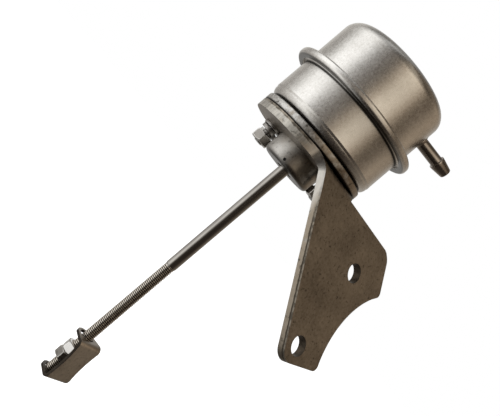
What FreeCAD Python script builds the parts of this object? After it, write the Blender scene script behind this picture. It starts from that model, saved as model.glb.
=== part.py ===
"""Wastegate actuator: pressure can, cranked bracket and adjustable push rod.

Lengths are in millimetres and angles in degrees. The rod's axis is the Z axis. Z is zero at the
clamp plane between the mounting plate and the bracket's flange, and +Z points to the can's top.
The bracket's leg is cranked down on the +X side, with its bend line along Y.
"""
import FreeCAD, Part
import Sketcher
import math
import os

# Pressure can
can_sheet = 1.2  # sheet of both drawn shells
can_radius = 34.3  # outside radius of the shells
can_top = 60.6  # height of the upper shell's roof
roof_round = 7.0  # outside rounding of the roof
foot_round = 4.5  # outside rounding of the lower shell's foot
bead_width = 5.7  # reach of the rolled bead past the shell
bead_top = 31.5  # upper face of the rolled bead
lip_reach = 4.2  # width of the lip rolled under the flange
bead_gap = 0.1  # room between the flange's edge and the bead
floor_hole = 7.2  # hole radius in the lower shell's floor

# Diaphragm and piston stack
rubber_thick = 0.7  # rubber sheet of the diaphragm
piston_room = 8.9  # room between the shell's outside and the piston cup
piston_top = 54.25  # upper face of the piston cup at rest
piston_depth = 21.0  # height of the piston cup
piston_sheet = 1.2  # sheet of the piston cup
roll_depth = 5.0  # depth of the rolled fold under the crimp
retainer_inset = 3.4  # edge of the retainer plate inside the piston's edge
retainer_sheet = 1.2  # sheet of the retainer plate
head_washer_radius = 7.5  # radius of the washer under the rod's head
head_washer_thick = 1.5  # washer under the rod's head

# Return spring
wire = 3.4  # spring wire
coil_space = 8.0  # mean line of the coils inside the studs
seat_sheet = 1.0  # sheet of the spring seat
seat_edge = 2.2  # edge of the spring seat outside the coils' mean line
seat_collar = 4.0  # height of the seat's collar
seat_play = 0.4  # room between collar and coils
active_turns = 5

# Push rod
rod_radius = 3.175  # smooth rod
neck_radius = 2.5  # neck through the piston stack
head_radius = 4.4  # riveted head
head_height = 1.7  # riveted head
thread_radius = 2.93  # threaded end
thread_start = 90.2  # depth where the thread starts
rod_tail = 19.7  # rod's free end below the adjusting nut's upper face
end_chamfer = 0.7  # chamfer of the rod's free end

# Guide
running_fit = 0.05  # room between rod and bush
bush_radius = 6.0  # outside radius of the bush
bush_reach = 9.0  # depth of the bush under the clamp plane
wiper_fit = 0.3  # room between rod and wiper
wiper_height = 4.2  # height of the wiper ring
cup_offset = 3.2  # guide cup inside four fifths of the studs' circle
cup_depth = 15.8  # depth of the guide cup
cup_sheet = 1.2  # sheet of the guide cup
cup_round = 2.4  # rounding at the cup's bottom
cup_rim = 2.3  # width of the cup's flange
cup_hole = 5.1  # hole radius in the cup's bottom
vent_radius = 0.8  # vent hole in the cup
vent_depth = 13.2  # depth of the vent hole
vent_azimuth = -50.0  # direction of the vent hole

# Plate and bracket
plate_inset = 0.7  # edge of the mounting plate and bracket flange inside the shell
plate_thick = 4.3  # mounting plate
edge_break = 1.0  # rounded edges of the plate
recess_depth = 1.3  # recess for the cup's flange
recess_play = 0.2  # room round the cup's flange
strap = 4.5  # thickness of the bracket
roll_over = 0.9  # rounded rim that the punch leaves on the flange's upper side
centre_play = 0.3  # room round the cup in the bracket
bend_angle = 63.53  # slope of the leg
corner_inset = 1.1  # the leg's outer face inside the flange's edge, in the clamp plane
bend_inner = 1.8  # inside radius of the bend
hole_radius = 5.0  # holes in the leg
hole_one_u = 43.3  # upper hole, along the bend
hole_one_w = 25.6  # upper hole, down the leg
hole_two_u = 34.3  # lower hole, along the bend
hole_two_inset = 10.7  # lower hole, up from the leg's lower corner
waist_radius = 50.0  # hollow edge of the leg
leg_start_left = -9.4  # leg's left side at the bend, along the bend
leg_start_right = 15.7  # leg's right side at the bend
leg_shoulder_u = -5.6  # start of the straight left side
leg_shoulder_w = 11.0
foot_left_u = 29.5  # lower left corner
leg_length = 83.3  # down the leg to its lower left corner
foot_left_round = 7.0
foot_right_u = 54.1  # lower right corner
foot_rise = 7.7  # lower right corner over the lower left one
foot_right_round = 3.4
wing_tip_u = 69.6  # outer corner of the wing
wing_tip_w = 22.6
wing_tip_round = 3.0
wing_top_u = 60.0  # upper corner of the wing
wing_top_w = 3.0
wing_top_round = 8.0

# Studs and their nuts
stud_offset = 7.24  # studs inside nine tenths of the flange's radius
stud_azimuth = 24.5  # direction of the first stud
stud_radius = 2.95  # stud
stud_hole = 3.2  # stud holes
stud_head = 5.2  # radius of the stud's head
stud_head_thick = 2.0  # thickness of the stud's head
nut_across = 10.0  # nuts, across the flats
nut_thick = 5.0  # nuts
nut_fit = 0.05  # room between nut and thread
washer_radius = 5.9  # flat washer
washer_thick = 1.6  # flat washer
split_radius = 5.3  # spring washer
split_thick = 2.0  # section of the spring washer
split_rise = 2.3  # rise of the open spring washer

# Hose nipple
nipple_height = 47.4  # height of the nipple's axis
nipple_azimuth = 64.4  # direction of the nipple
nipple_bore = 1.9  # bore of the nipple
nipple_stem = 3.3  # stem of the nipple
nipple_collar = 4.7  # braze collar at the shell
barb_radius = 4.15  # barb
barb_reach = 14.1  # barb's shoulder, from the shell
barb_length = 8.2  # barb with the tip
tip_radius = 2.9  # radius of the tip

# Rod nuts and clip
adjuster_top = 151.9  # depth of the adjusting nut's upper face
nut_gap = 0.1  # room between the two rod nuts
adjuster_turn = 2.0  # direction of a flat of the adjusting nut
jam_turn = 35.0  # direction of a flat of the jam nut
clip_sheet = 1.6  # sheet of the clip
clip_width = 15.9  # width of the web
clip_hollow = 0.9  # depth of the web's hollow sides
clip_waist = 50.0  # radius of the web's hollow sides
clip_ear = 5.75  # radius of the ears' round ends
clip_rise = 7.1  # upper ear's upper face over the adjusting nut
clip_height = 26.25  # height over both ears
clip_web = 6.22  # web's inner face from the axis
clip_hole = 4.1  # holes in the ears
clip_bend = 1.4  # inside radius of the clip's bends
clip_turn = 16.9  # direction of the web
clip_lean = 3.4  # lean of the clip on the rod
clip_lean_axis = -86.0  # direction that the clip leans to

doc = FreeCAD.newDocument("wastegate_actuator")
sheet = doc.addObject("Spreadsheet::Sheet", "Sizes")


class Length:
    """A length with its value and the sheet formula that gives it."""

    def __init__(self, value, text):
        self.value = value
        self.text = text

    def __add__(self, other):
        other = as_length(other)
        return Length(self.value + other.value, "(%s + %s)" % (self.text, other.text))

    def __sub__(self, other):
        other = as_length(other)
        return Length(self.value - other.value, "(%s - %s)" % (self.text, other.text))

    def __mul__(self, factor):
        return Length(self.value * factor, "(%s * %.6f)" % (self.text, factor))

    def __neg__(self):
        return self * -1.0


def as_length(item):
    """The item itself when it is a Length, or a plain number turned into one."""
    if isinstance(item, Length):
        return item
    return Length(float(item), "(%.6f)" % item)


rows = []


def named(alias, value):
    """Write one size into the sheet and give it back as a Length."""
    rows.append(alias)
    sheet.set("A%d" % len(rows), alias.replace("_", " "))
    sheet.set("B%d" % len(rows), str(value))
    sheet.setAlias("B%d" % len(rows), alias)
    return Length(value, "Sizes." + alias)

# Sheet: every size goes into the sheet, and its formula is used from here on.
can_sheet = named("can_sheet", can_sheet)
can_radius = named("can_radius", can_radius)
can_top = named("can_top", can_top)
roof_round = named("roof_round", roof_round)
foot_round = named("foot_round", foot_round)
bead_width = named("bead_width", bead_width)
bead_top = named("bead_top", bead_top)
lip_reach = named("lip_reach", lip_reach)
bead_gap = named("bead_gap", bead_gap)
floor_hole = named("floor_hole", floor_hole)
rubber_thick = named("rubber_thick", rubber_thick)
piston_room = named("piston_room", piston_room)
piston_top = named("piston_top", piston_top)
piston_depth = named("piston_depth", piston_depth)
piston_sheet = named("piston_sheet", piston_sheet)
roll_depth = named("roll_depth", roll_depth)
retainer_inset = named("retainer_inset", retainer_inset)
retainer_sheet = named("retainer_sheet", retainer_sheet)
head_washer_radius = named("head_washer_radius", head_washer_radius)
head_washer_thick = named("head_washer_thick", head_washer_thick)
wire = named("wire", wire)
coil_space = named("coil_space", coil_space)
seat_sheet = named("seat_sheet", seat_sheet)
seat_edge = named("seat_edge", seat_edge)
seat_collar = named("seat_collar", seat_collar)
seat_play = named("seat_play", seat_play)
rod_radius = named("rod_radius", rod_radius)
neck_radius = named("neck_radius", neck_radius)
head_radius = named("head_radius", head_radius)
head_height = named("head_height", head_height)
thread_radius = named("thread_radius", thread_radius)
thread_start = named("thread_start", thread_start)
rod_tail = named("rod_tail", rod_tail)
end_chamfer = named("end_chamfer", end_chamfer)
running_fit = named("running_fit", running_fit)
bush_radius = named("bush_radius", bush_radius)
bush_reach = named("bush_reach", bush_reach)
wiper_fit = named("wiper_fit", wiper_fit)
wiper_height = named("wiper_height", wiper_height)
cup_offset = named("cup_offset", cup_offset)
cup_depth = named("cup_depth", cup_depth)
cup_sheet = named("cup_sheet", cup_sheet)
cup_round = named("cup_round", cup_round)
cup_rim = named("cup_rim", cup_rim)
cup_hole = named("cup_hole", cup_hole)
vent_radius = named("vent_radius", vent_radius)
vent_depth = named("vent_depth", vent_depth)
vent_azimuth = named("vent_azimuth", vent_azimuth)
plate_inset = named("plate_inset", plate_inset)
plate_thick = named("plate_thick", plate_thick)
edge_break = named("edge_break", edge_break)
recess_depth = named("recess_depth", recess_depth)
recess_play = named("recess_play", recess_play)
strap = named("strap", strap)
roll_over = named("roll_over", roll_over)
centre_play = named("centre_play", centre_play)
bend_angle = named("bend_angle", bend_angle)
corner_inset = named("corner_inset", corner_inset)
bend_inner = named("bend_inner", bend_inner)
hole_radius = named("hole_radius", hole_radius)
hole_one_u = named("hole_one_u", hole_one_u)
hole_one_w = named("hole_one_w", hole_one_w)
hole_two_u = named("hole_two_u", hole_two_u)
hole_two_inset = named("hole_two_inset", hole_two_inset)
waist_radius = named("waist_radius", waist_radius)
leg_start_left = named("leg_start_left", leg_start_left)
leg_start_right = named("leg_start_right", leg_start_right)
leg_shoulder_u = named("leg_shoulder_u", leg_shoulder_u)
leg_shoulder_w = named("leg_shoulder_w", leg_shoulder_w)
foot_left_u = named("foot_left_u", foot_left_u)
leg_length = named("leg_length", leg_length)
foot_left_round = named("foot_left_round", foot_left_round)
foot_right_u = named("foot_right_u", foot_right_u)
foot_rise = named("foot_rise", foot_rise)
foot_right_round = named("foot_right_round", foot_right_round)
wing_tip_u = named("wing_tip_u", wing_tip_u)
wing_tip_w = named("wing_tip_w", wing_tip_w)
wing_tip_round = named("wing_tip_round", wing_tip_round)
wing_top_u = named("wing_top_u", wing_top_u)
wing_top_w = named("wing_top_w", wing_top_w)
wing_top_round = named("wing_top_round", wing_top_round)
stud_offset = named("stud_offset", stud_offset)
stud_azimuth = named("stud_azimuth", stud_azimuth)
stud_radius = named("stud_radius", stud_radius)
stud_hole = named("stud_hole", stud_hole)
stud_head = named("stud_head", stud_head)
stud_head_thick = named("stud_head_thick", stud_head_thick)
nut_across = named("nut_across", nut_across)
nut_thick = named("nut_thick", nut_thick)
nut_fit = named("nut_fit", nut_fit)
washer_radius = named("washer_radius", washer_radius)
washer_thick = named("washer_thick", washer_thick)
split_radius = named("split_radius", split_radius)
split_thick = named("split_thick", split_thick)
split_rise = named("split_rise", split_rise)
nipple_height = named("nipple_height", nipple_height)
nipple_azimuth = named("nipple_azimuth", nipple_azimuth)
nipple_bore = named("nipple_bore", nipple_bore)
nipple_stem = named("nipple_stem", nipple_stem)
nipple_collar = named("nipple_collar", nipple_collar)
barb_radius = named("barb_radius", barb_radius)
barb_reach = named("barb_reach", barb_reach)
barb_length = named("barb_length", barb_length)
tip_radius = named("tip_radius", tip_radius)
adjuster_top = named("adjuster_top", adjuster_top)
nut_gap = named("nut_gap", nut_gap)
adjuster_turn = named("adjuster_turn", adjuster_turn)
jam_turn = named("jam_turn", jam_turn)
clip_sheet = named("clip_sheet", clip_sheet)
clip_width = named("clip_width", clip_width)
clip_hollow = named("clip_hollow", clip_hollow)
clip_waist = named("clip_waist", clip_waist)
clip_ear = named("clip_ear", clip_ear)
clip_rise = named("clip_rise", clip_rise)
clip_height = named("clip_height", clip_height)
clip_web = named("clip_web", clip_web)
clip_hole = named("clip_hole", clip_hole)
clip_bend = named("clip_bend", clip_bend)
clip_turn = named("clip_turn", clip_turn)
clip_lean = named("clip_lean", clip_lean)
clip_lean_axis = named("clip_lean_axis", clip_lean_axis)
doc.recompute()

# Sizes that follow from others, so that neighbours keep together when one of them changes.
bead_radius = can_radius + bead_width
piston_radius = can_radius - piston_room
retainer_radius = piston_radius - retainer_inset
plate_radius = can_radius - plate_inset
corner_x = plate_radius - corner_inset
stud_circle = plate_radius * 0.9 - stud_offset
cup_radius = stud_circle * 0.8 - cup_offset
cup_flange = cup_radius + cup_rim
coil_radius = stud_circle - coil_space
seat_radius = coil_radius + seat_edge
foot_left_w = leg_length
foot_right_w = leg_length - foot_rise
hole_two_w = leg_length - hole_two_inset
barb_start = can_radius + barb_reach
nipple_tip = barb_start + barb_length
rod_end = adjuster_top + rod_tail
clip_top = adjuster_top - clip_rise


def origin_item(body, role):
    """Plane or axis of the body's own origin with this role."""
    return [item for item in body.Origin.OriginFeatures if item.Role == role][0]


def arc_between(start, end, radius, side):
    """Arc of the given radius from start to end, its centre on the left (1) or right (-1)."""
    chord = end - start
    middle = (start + end) * 0.5
    rise = math.sqrt(max(radius * radius - chord.Length * chord.Length * 0.25, 0.0))
    left = FreeCAD.Vector(-chord.y, chord.x, 0) / chord.Length
    centre = middle + left * (rise * side)
    first = start if side > 0 else end
    last = end if side > 0 else start
    begin = math.atan2(first.y - centre.y, first.x - centre.x)
    finish = math.atan2(last.y - centre.y, last.x - centre.x)
    circle = Part.Circle(centre, FreeCAD.Vector(0, 0, 1), radius)
    return Part.ArcOfCircle(circle, begin, finish)


def outline(body, role, name, corners, arcs=None, holes=()):
    """Closed outline on one origin plane, each corner held by two formulas.

    arcs gives {edge number: (radius, side)}, and holes gives (x, y, radius) of round holes.
    """
    arcs = arcs or {}
    sketch = body.newObject("Sketcher::SketchObject", name)
    sketch.AttachmentSupport = [(origin_item(body, role), "")]
    sketch.MapMode = "FlatFace"
    points = [FreeCAD.Vector(as_length(x).value, as_length(y).value, 0) for x, y in corners]
    count = len(points)
    ends = []
    for index in range(count):
        start = points[index]
        end = points[(index + 1) % count]
        if index in arcs:
            radius, side = arcs[index]
            sketch.addGeometry(arc_between(start, end, as_length(radius).value, side), False)
            ends.append((1, 2) if side > 0 else (2, 1))
        else:
            sketch.addGeometry(Part.LineSegment(start, end), False)
            ends.append((1, 2))
    for index in range(count):
        following = (index + 1) % count
        joint = Sketcher.Constraint("Coincident", index, ends[index][1], following, ends[following][0])
        sketch.addConstraint(joint)
    for index, corner in enumerate(corners):
        for kind, item, place in zip(("DistanceX", "DistanceY"), corner, (points[index].x, points[index].y)):
            rule = Sketcher.Constraint(kind, -1, 1, index, ends[index][0], place)
            number = sketch.addConstraint(rule)
            sketch.setExpression("Constraints[%d]" % number, as_length(item).text)
    for index, (radius, side) in arcs.items():
        number = sketch.addConstraint(Sketcher.Constraint("Radius", index, as_length(radius).value))
        sketch.setExpression("Constraints[%d]" % number, as_length(radius).text)
    for x, y, radius in holes:
        centre = FreeCAD.Vector(as_length(x).value, as_length(y).value, 0)
        circle = Part.Circle(centre, FreeCAD.Vector(0, 0, 1), as_length(radius).value)
        edge = sketch.addGeometry(circle, False)
        for kind, item in (("DistanceX", as_length(x)), ("DistanceY", as_length(y))):
            number = sketch.addConstraint(Sketcher.Constraint(kind, -1, 1, edge, 3, item.value))
            sketch.setExpression("Constraints[%d]" % number, item.text)
        number = sketch.addConstraint(Sketcher.Constraint("Radius", edge, as_length(radius).value))
        sketch.setExpression("Constraints[%d]" % number, as_length(radius).text)
    return sketch


def turned(name, corners, arcs=None):
    """Solid of revolution about Z, from corners given as radius and height."""
    body = doc.addObject("PartDesign::Body", name)
    sketch = outline(body, "XZ_Plane", name + "_section", corners, arcs)
    revolve = body.newObject("PartDesign::Revolution", name + "_turning")
    revolve.Profile = sketch
    revolve.ReferenceAxis = (sketch, ["V_Axis"])
    revolve.Angle = 360
    doc.recompute()
    return body


def flat(name, corners, thick, arcs=None, holes=()):
    """Flat piece of the given thickness that rises from the XY plane."""
    body = doc.addObject("PartDesign::Body", name)
    sketch = outline(body, "XY_Plane", name + "_outline", corners, arcs, holes)
    pad = body.newObject("PartDesign::Pad", name + "_pad")
    pad.Profile = sketch
    pad.Length = thick.value
    pad.setExpression("Length", thick.text)
    doc.recompute()
    return body


def rims(shape, places):
    """Names of the round edges with the given radius and height."""
    names = []
    for index, edge in enumerate(shape.Edges):
        curve = edge.Curve
        for radius, height in places:
            if not isinstance(curve, Part.Circle):
                continue
            near = abs(curve.Radius - as_length(radius).value) < 0.02
            if near and abs(curve.Center.z - as_length(height).value) < 0.02:
                names.append("Edge%d" % (index + 1))
    return names


def posts(shape, places):
    """Names of the upright straight edges over the given points of the XY plane."""
    names = []
    for index, edge in enumerate(shape.Edges):
        start = edge.Vertexes[0].Point
        end = edge.Vertexes[-1].Point
        if math.hypot(start.x - end.x, start.y - end.y) > 0.01:
            continue
        for x, y in places:
            if math.hypot(start.x - as_length(x).value, start.y - as_length(y).value) < 0.05:
                names.append("Edge%d" % (index + 1))
    return names


def softened(body, names, radius, kind="Fillet"):
    """Fillet or chamfer the named edges of the body's last feature."""
    base = body.Tip
    soft = body.newObject("PartDesign::" + kind, "%s_%s" % (body.Name, kind.lower()))
    soft.Base = (base, names)
    if kind == "Fillet":
        soft.Radius = radius.value
        soft.setExpression("Radius", radius.text)
    else:
        soft.Size = radius.value
        soft.setExpression("Size", radius.text)
    body.Tip = soft
    doc.recompute()
    return soft


def pillar(name, radius, height, x=0, y=0, z=0):
    """Upright cylinder standing on the given point."""
    cylinder = doc.addObject("Part::Cylinder", name)
    cylinder.setExpression("Radius", as_length(radius).text)
    cylinder.setExpression("Height", as_length(height).text)
    cylinder.setExpression(".Placement.Base.x", as_length(x).text)
    cylinder.setExpression(".Placement.Base.y", as_length(y).text)
    cylinder.setExpression(".Placement.Base.z", as_length(z).text)
    doc.recompute()
    return cylinder


def bored(name, base, tools):
    """The base with all the tools cut out of it."""
    joined = tools[0]
    if len(tools) > 1:
        joined = doc.addObject("Part::MultiFuse", name + "_tools")
        joined.Shapes = tools
    cut = doc.addObject("Part::Cut", name)
    cut.Base = base
    cut.Tool = joined
    doc.recompute()
    return cut


def paired(body, features):
    """Repeat the features on the opposite side of the rod and turn both to the studs' direction."""
    pattern = body.newObject("PartDesign::PolarPattern", body.Name + "_pair")
    pattern.Originals = features
    pattern.Axis = (origin_item(body, "Z_Axis"), [""])
    pattern.Angle = 360
    pattern.Occurrences = 2
    body.Tip = pattern
    body.Placement = FreeCAD.Placement(FreeCAD.Vector(0, 0, 0), FreeCAD.Rotation(FreeCAD.Vector(0, 0, 1), 0))
    body.setExpression(".Placement.Rotation.Angle", stud_azimuth.text)
    doc.recompute()
    return body


stud_x = stud_circle * math.cos(math.radians(stud_azimuth.value))
stud_y = stud_circle * math.sin(math.radians(stud_azimuth.value))
flange_under = bead_top - can_sheet - rubber_thick - can_sheet
floor_top = plate_thick + can_sheet

# Upper shell: a deep-drawn cup. Its rim flares out to the bead, turns down and is rolled
# back under the lower shell's flange. The nipple's hole goes through the side wall.
upper_blank = turned("upper_blank", [
    (0, can_top),
    (can_radius, can_top),
    (can_radius, bead_top),
    (bead_radius, bead_top),
    (bead_radius, flange_under - can_sheet),
    (bead_radius - lip_reach, flange_under - can_sheet),
    (bead_radius - lip_reach, flange_under),
    (bead_radius - can_sheet, flange_under),
    (bead_radius - can_sheet, bead_top - can_sheet),
    (can_radius - can_sheet, bead_top - can_sheet),
    (can_radius - can_sheet, can_top - can_sheet),
    (0, can_top - can_sheet),
])
inner_rim = rims(upper_blank.Shape, [(can_radius - can_sheet, can_top - can_sheet)])
softened(upper_blank, inner_rim, roof_round - can_sheet)
softened(upper_blank, rims(upper_blank.Shape, [(can_radius, can_top)]), roof_round)
bead_rims = [(bead_radius, bead_top), (bead_radius, flange_under - can_sheet)]
softened(upper_blank, rims(upper_blank.Shape, bead_rims), can_sheet)
nipple_drill = pillar("nipple_drill", nipple_stem, can_radius, 0, 0, nipple_height)
nipple_drill.Placement.Rotation = FreeCAD.Rotation(nipple_azimuth.value, 90, 0)
upper_can = bored("upper_can", upper_blank, [nipple_drill])

# Lower shell: drawn cup standing on the mounting plate, with holes for the bush and the
# studs in its floor and a flat flange that the upper shell's rim holds.
lower_blank = turned("lower_blank", [
    (floor_hole, plate_thick),
    (can_radius, plate_thick),
    (can_radius, flange_under),
    (bead_radius - can_sheet - bead_gap, flange_under),
    (bead_radius - can_sheet - bead_gap, flange_under + can_sheet),
    (can_radius - can_sheet, flange_under + can_sheet),
    (can_radius - can_sheet, floor_top),
    (floor_hole, floor_top),
])
inner_rim = rims(lower_blank.Shape, [(can_radius - can_sheet, floor_top)])
softened(lower_blank, inner_rim, foot_round - can_sheet)
softened(lower_blank, rims(lower_blank.Shape, [(can_radius, plate_thick)]), foot_round)
lower_can = bored("lower_can", lower_blank, [
    pillar("lower_hole_one", stud_hole, floor_top, stud_x, stud_y, 0),
    pillar("lower_hole_two", stud_hole, floor_top, -stud_x, -stud_y, 0),
])

# Diaphragm: moulded rubber. Its edge is held in the bead, its side hangs in a rolled fold
# beside the piston and its middle lies on the piston's top.
fold_inner = piston_radius + 0.5
fold_outer = can_radius - can_sheet - 0.3
fold_level = flange_under + can_sheet - roll_depth
diaphragm = turned("diaphragm", [
    (neck_radius, piston_top),
    (fold_inner, piston_top),
    (fold_inner, fold_level + rubber_thick),
    (fold_inner + rubber_thick, fold_level),
    (fold_outer - rubber_thick, fold_level),
    (fold_outer, fold_level + rubber_thick),
    (fold_outer, flange_under + can_sheet),
    (bead_radius - can_sheet - bead_gap, flange_under + can_sheet),
    (bead_radius - can_sheet - bead_gap, bead_top - can_sheet),
    (fold_outer - rubber_thick, bead_top - can_sheet),
    (fold_outer - rubber_thick, fold_level + rubber_thick * 2),
    (fold_outer - rubber_thick * 2, fold_level + rubber_thick),
    (fold_inner + rubber_thick * 2, fold_level + rubber_thick),
    (fold_inner + rubber_thick, fold_level + rubber_thick * 2),
    (fold_inner + rubber_thick, piston_top + rubber_thick),
    (neck_radius, piston_top + rubber_thick),
])

# Piston cup: pressed cup, open at the bottom, that carries the diaphragm and takes the spring.
piston_cup = turned("piston_cup", [
    (neck_radius, piston_top - piston_sheet),
    (piston_radius - piston_sheet, piston_top - piston_sheet),
    (piston_radius - piston_sheet, piston_top - piston_depth),
    (piston_radius, piston_top - piston_depth),
    (piston_radius, piston_top),
    (neck_radius, piston_top),
])
softened(piston_cup, rims(piston_cup.Shape, [(piston_radius, piston_top)]), piston_sheet)

# Retainer plate: disc that presses the diaphragm onto the piston cup.
retainer_low = piston_top + rubber_thick
retainer_high = retainer_low + retainer_sheet
retainer_plate = turned("retainer_plate", [
    (neck_radius, retainer_low),
    (retainer_radius - retainer_sheet, retainer_low),
    (retainer_radius, retainer_low + retainer_sheet * 0.5),
    (retainer_radius, retainer_high),
    (neck_radius, retainer_high),
])

# Head washer: thick washer between the retainer plate and the rod's riveted head.
head_washer = turned("head_washer", [
    (neck_radius, retainer_high),
    (head_washer_radius, retainer_high),
    (head_washer_radius, retainer_high + head_washer_thick),
    (neck_radius, retainer_high + head_washer_thick),
])

# Push rod: smooth ground rod with a necked and riveted upper end and a long threaded lower end.
head_low = retainer_high + head_washer_thick
rod = turned("rod", [
    (0, head_low + head_height),
    (head_radius - 1.2, head_low + head_height),
    (head_radius, head_low + head_height * 0.4),
    (head_radius, head_low),
    (neck_radius, head_low),
    (neck_radius, piston_top - piston_sheet),
    (rod_radius, piston_top - piston_sheet),
    (rod_radius, -thread_start),
    (thread_radius, -(thread_start + 0.3)),
    (thread_radius, -(rod_end - end_chamfer)),
    (thread_radius - end_chamfer, -rod_end),
    (0, -rod_end),
])

# Return spring: steel wire wound from half turns. Each half turn is a tilted half ring, so the
# coil stays smooth where two halves meet. The end turns lie close and are ground flat.
spring_low = floor_top + seat_sheet
spring_high = piston_top - piston_sheet
free_height = spring_high.value - spring_low.value
closed_rise = wire.value * 1.03
end_sink = wire.value * 0.22
coil_span = free_height - wire.value + 2 * end_sink
active_rise = (coil_span - 2 * closed_rise) / active_turns
half_rises = [closed_rise * 0.5] * 2 + [active_rise * 0.5] * (2 * active_turns) + [closed_rise * 0.5] * 2
half_turns = []
level = spring_low.value + wire.value * 0.5 - end_sink
for number, rise in enumerate(half_rises):
    half = doc.addObject("Part::Torus", "half_turn_%d" % number)
    half.setExpression("Radius1", "sqrt(%s ^ 2 + %.6f ^ 2)" % (coil_radius.text, rise * 0.5))
    half.setExpression("Radius2", (wire * 0.5).text)
    half.Angle3 = 180
    tilt = math.degrees(math.atan2(rise * 0.5, coil_radius.value))
    facing = FreeCAD.Rotation(FreeCAD.Vector(0, 0, 1), 180 * (number % 2))
    lean = FreeCAD.Rotation(FreeCAD.Vector(0, 1, 0), tilt)
    half.Placement = FreeCAD.Placement(FreeCAD.Vector(0, 0, level + rise * 0.5), facing.multiply(lean))
    half_turns.append(half)
    level += rise
coil = doc.addObject("Part::MultiFuse", "coil")
coil.Shapes = half_turns
ground = pillar("ground_ends", coil_radius + wire, spring_high - spring_low, 0, 0, spring_low)
return_spring = doc.addObject("Part::MultiCommon", "return_spring")
return_spring.Shapes = [coil, ground]
doc.recompute()

# Spring seat: pressed ring on the lower shell's floor with a collar inside the coils.
collar_radius = coil_radius - wire * 0.5 - seat_play
spring_seat = turned("spring_seat", [
    (collar_radius - seat_sheet, floor_top),
    (seat_radius, floor_top),
    (seat_radius, spring_low),
    (collar_radius, spring_low),
    (collar_radius, spring_low + seat_collar),
    (collar_radius - seat_sheet, spring_low + seat_collar),
])

# Mounting plate: thick disc with the bush's bore, a recess for the guide cup's flange and
# two stud holes.
plate_blank = turned("plate_blank", [
    (cup_flange + recess_play, 0),
    (plate_radius, 0),
    (plate_radius, plate_thick),
    (bush_radius, plate_thick),
    (bush_radius, recess_depth),
    (cup_flange + recess_play, recess_depth),
])
plate_rims = [(plate_radius, 0), (plate_radius, plate_thick)]
softened(plate_blank, rims(plate_blank.Shape, plate_rims), edge_break)
mounting_plate = bored("mounting_plate", plate_blank, [
    pillar("plate_hole_one", stud_hole, plate_thick, stud_x, stud_y, 0),
    pillar("plate_hole_two", stud_hole, plate_thick, -stud_x, -stud_y, 0),
])

# Rod bush: plain bush pressed into the plate, with a head that rests on the plate.
rod_bush = turned("rod_bush", [
    (rod_radius + running_fit, -bush_reach),
    (bush_radius, -bush_reach),
    (bush_radius, plate_thick),
    (floor_hole - 0.4, plate_thick),
    (floor_hole - 0.4, floor_top),
    (rod_radius + running_fit, floor_top),
])

# Guide cup: drawn cup round the bush. Its flange is held between plate and bracket, the rod
# leaves through its bottom, and a small vent hole is drilled near the bottom.
cup_blank = turned("cup_blank", [
    (cup_radius - cup_sheet, 0),
    (cup_radius - cup_sheet, cup_sheet - cup_depth),
    (cup_hole, cup_sheet - cup_depth),
    (cup_hole, -cup_depth),
    (cup_radius, -cup_depth),
    (cup_radius, 0),
    (cup_flange, 0),
    (cup_flange, cup_sheet),
    (cup_radius - cup_sheet, cup_sheet),
])
inner_rim = rims(cup_blank.Shape, [(cup_radius - cup_sheet, cup_sheet - cup_depth)])
softened(cup_blank, inner_rim, cup_round - cup_sheet)
softened(cup_blank, rims(cup_blank.Shape, [(cup_radius, -cup_depth)]), cup_round)
vent_drill = pillar("vent_drill", vent_radius, cup_radius + 1, 0, 0, -vent_depth)
vent_drill.Placement.Rotation = FreeCAD.Rotation(vent_azimuth.value, 90, 0)
guide_cup = bored("guide_cup", cup_blank, [vent_drill])

# Wiper seal: rubber ring in the bottom of the guide cup.
wiper_low = cup_sheet - cup_depth
wiper_seal = turned("wiper_seal", [
    (rod_radius + wiper_fit, wiper_low + 1.4),
    (rod_radius + wiper_fit, wiper_low + wiper_height * 0.5),
    (rod_radius + 2.2, wiper_low + wiper_height),
    (cup_radius - cup_sheet, wiper_low + wiper_height),
    (cup_radius - cup_sheet, wiper_low + cup_round),
    (cup_radius - cup_round, wiper_low),
    (cup_hole + 0.6, wiper_low),
])

# Bracket: one strap blank. A round flange lies under the mounting plate, a short bend follows
# and the flat leg runs down with its wing, two holes and a hollow edge.
slope = math.radians(bend_angle.value)
bend_outer = bend_inner + strap
setback = bend_outer * math.tan(slope * 0.5)
bend_x = corner_x - setback
lay = FreeCAD.Rotation(FreeCAD.Vector(0, 0, 1), 90)
down = FreeCAD.Rotation(FreeCAD.Vector(0, 1, 0), bend_angle.value - 180)
half_down = FreeCAD.Rotation(FreeCAD.Vector(0, 1, 0), bend_angle.value * 0.5 - 180)

flange_blank = turned("flange_blank", [
    (cup_radius + centre_play, -strap),
    (plate_radius, -strap),
    (plate_radius, 0),
    (cup_radius + centre_play, 0),
])
softened(flange_blank, rims(flange_blank.Shape, [(plate_radius, 0)]), roll_over)
bend_side = plate_radius * math.sqrt(1.0 - (bend_x.value / plate_radius.value) ** 2)
flange_trim = flat("flange_trim", [
    (bend_x, -plate_radius),
    (plate_radius * 2.0, -plate_radius),
    (plate_radius * 2.0, plate_radius),
    (bend_x, plate_radius),
], strap)
flange_trim.setExpression(".Placement.Base.z", (-strap).text)
bracket_flange = bored("bracket_flange", flange_blank, [
    flange_trim,
    pillar("flange_hole_one", stud_hole, strap, stud_x, stud_y, -strap),
    pillar("flange_hole_two", stud_hole, strap, -stud_x, -stud_y, -strap),
])

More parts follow.
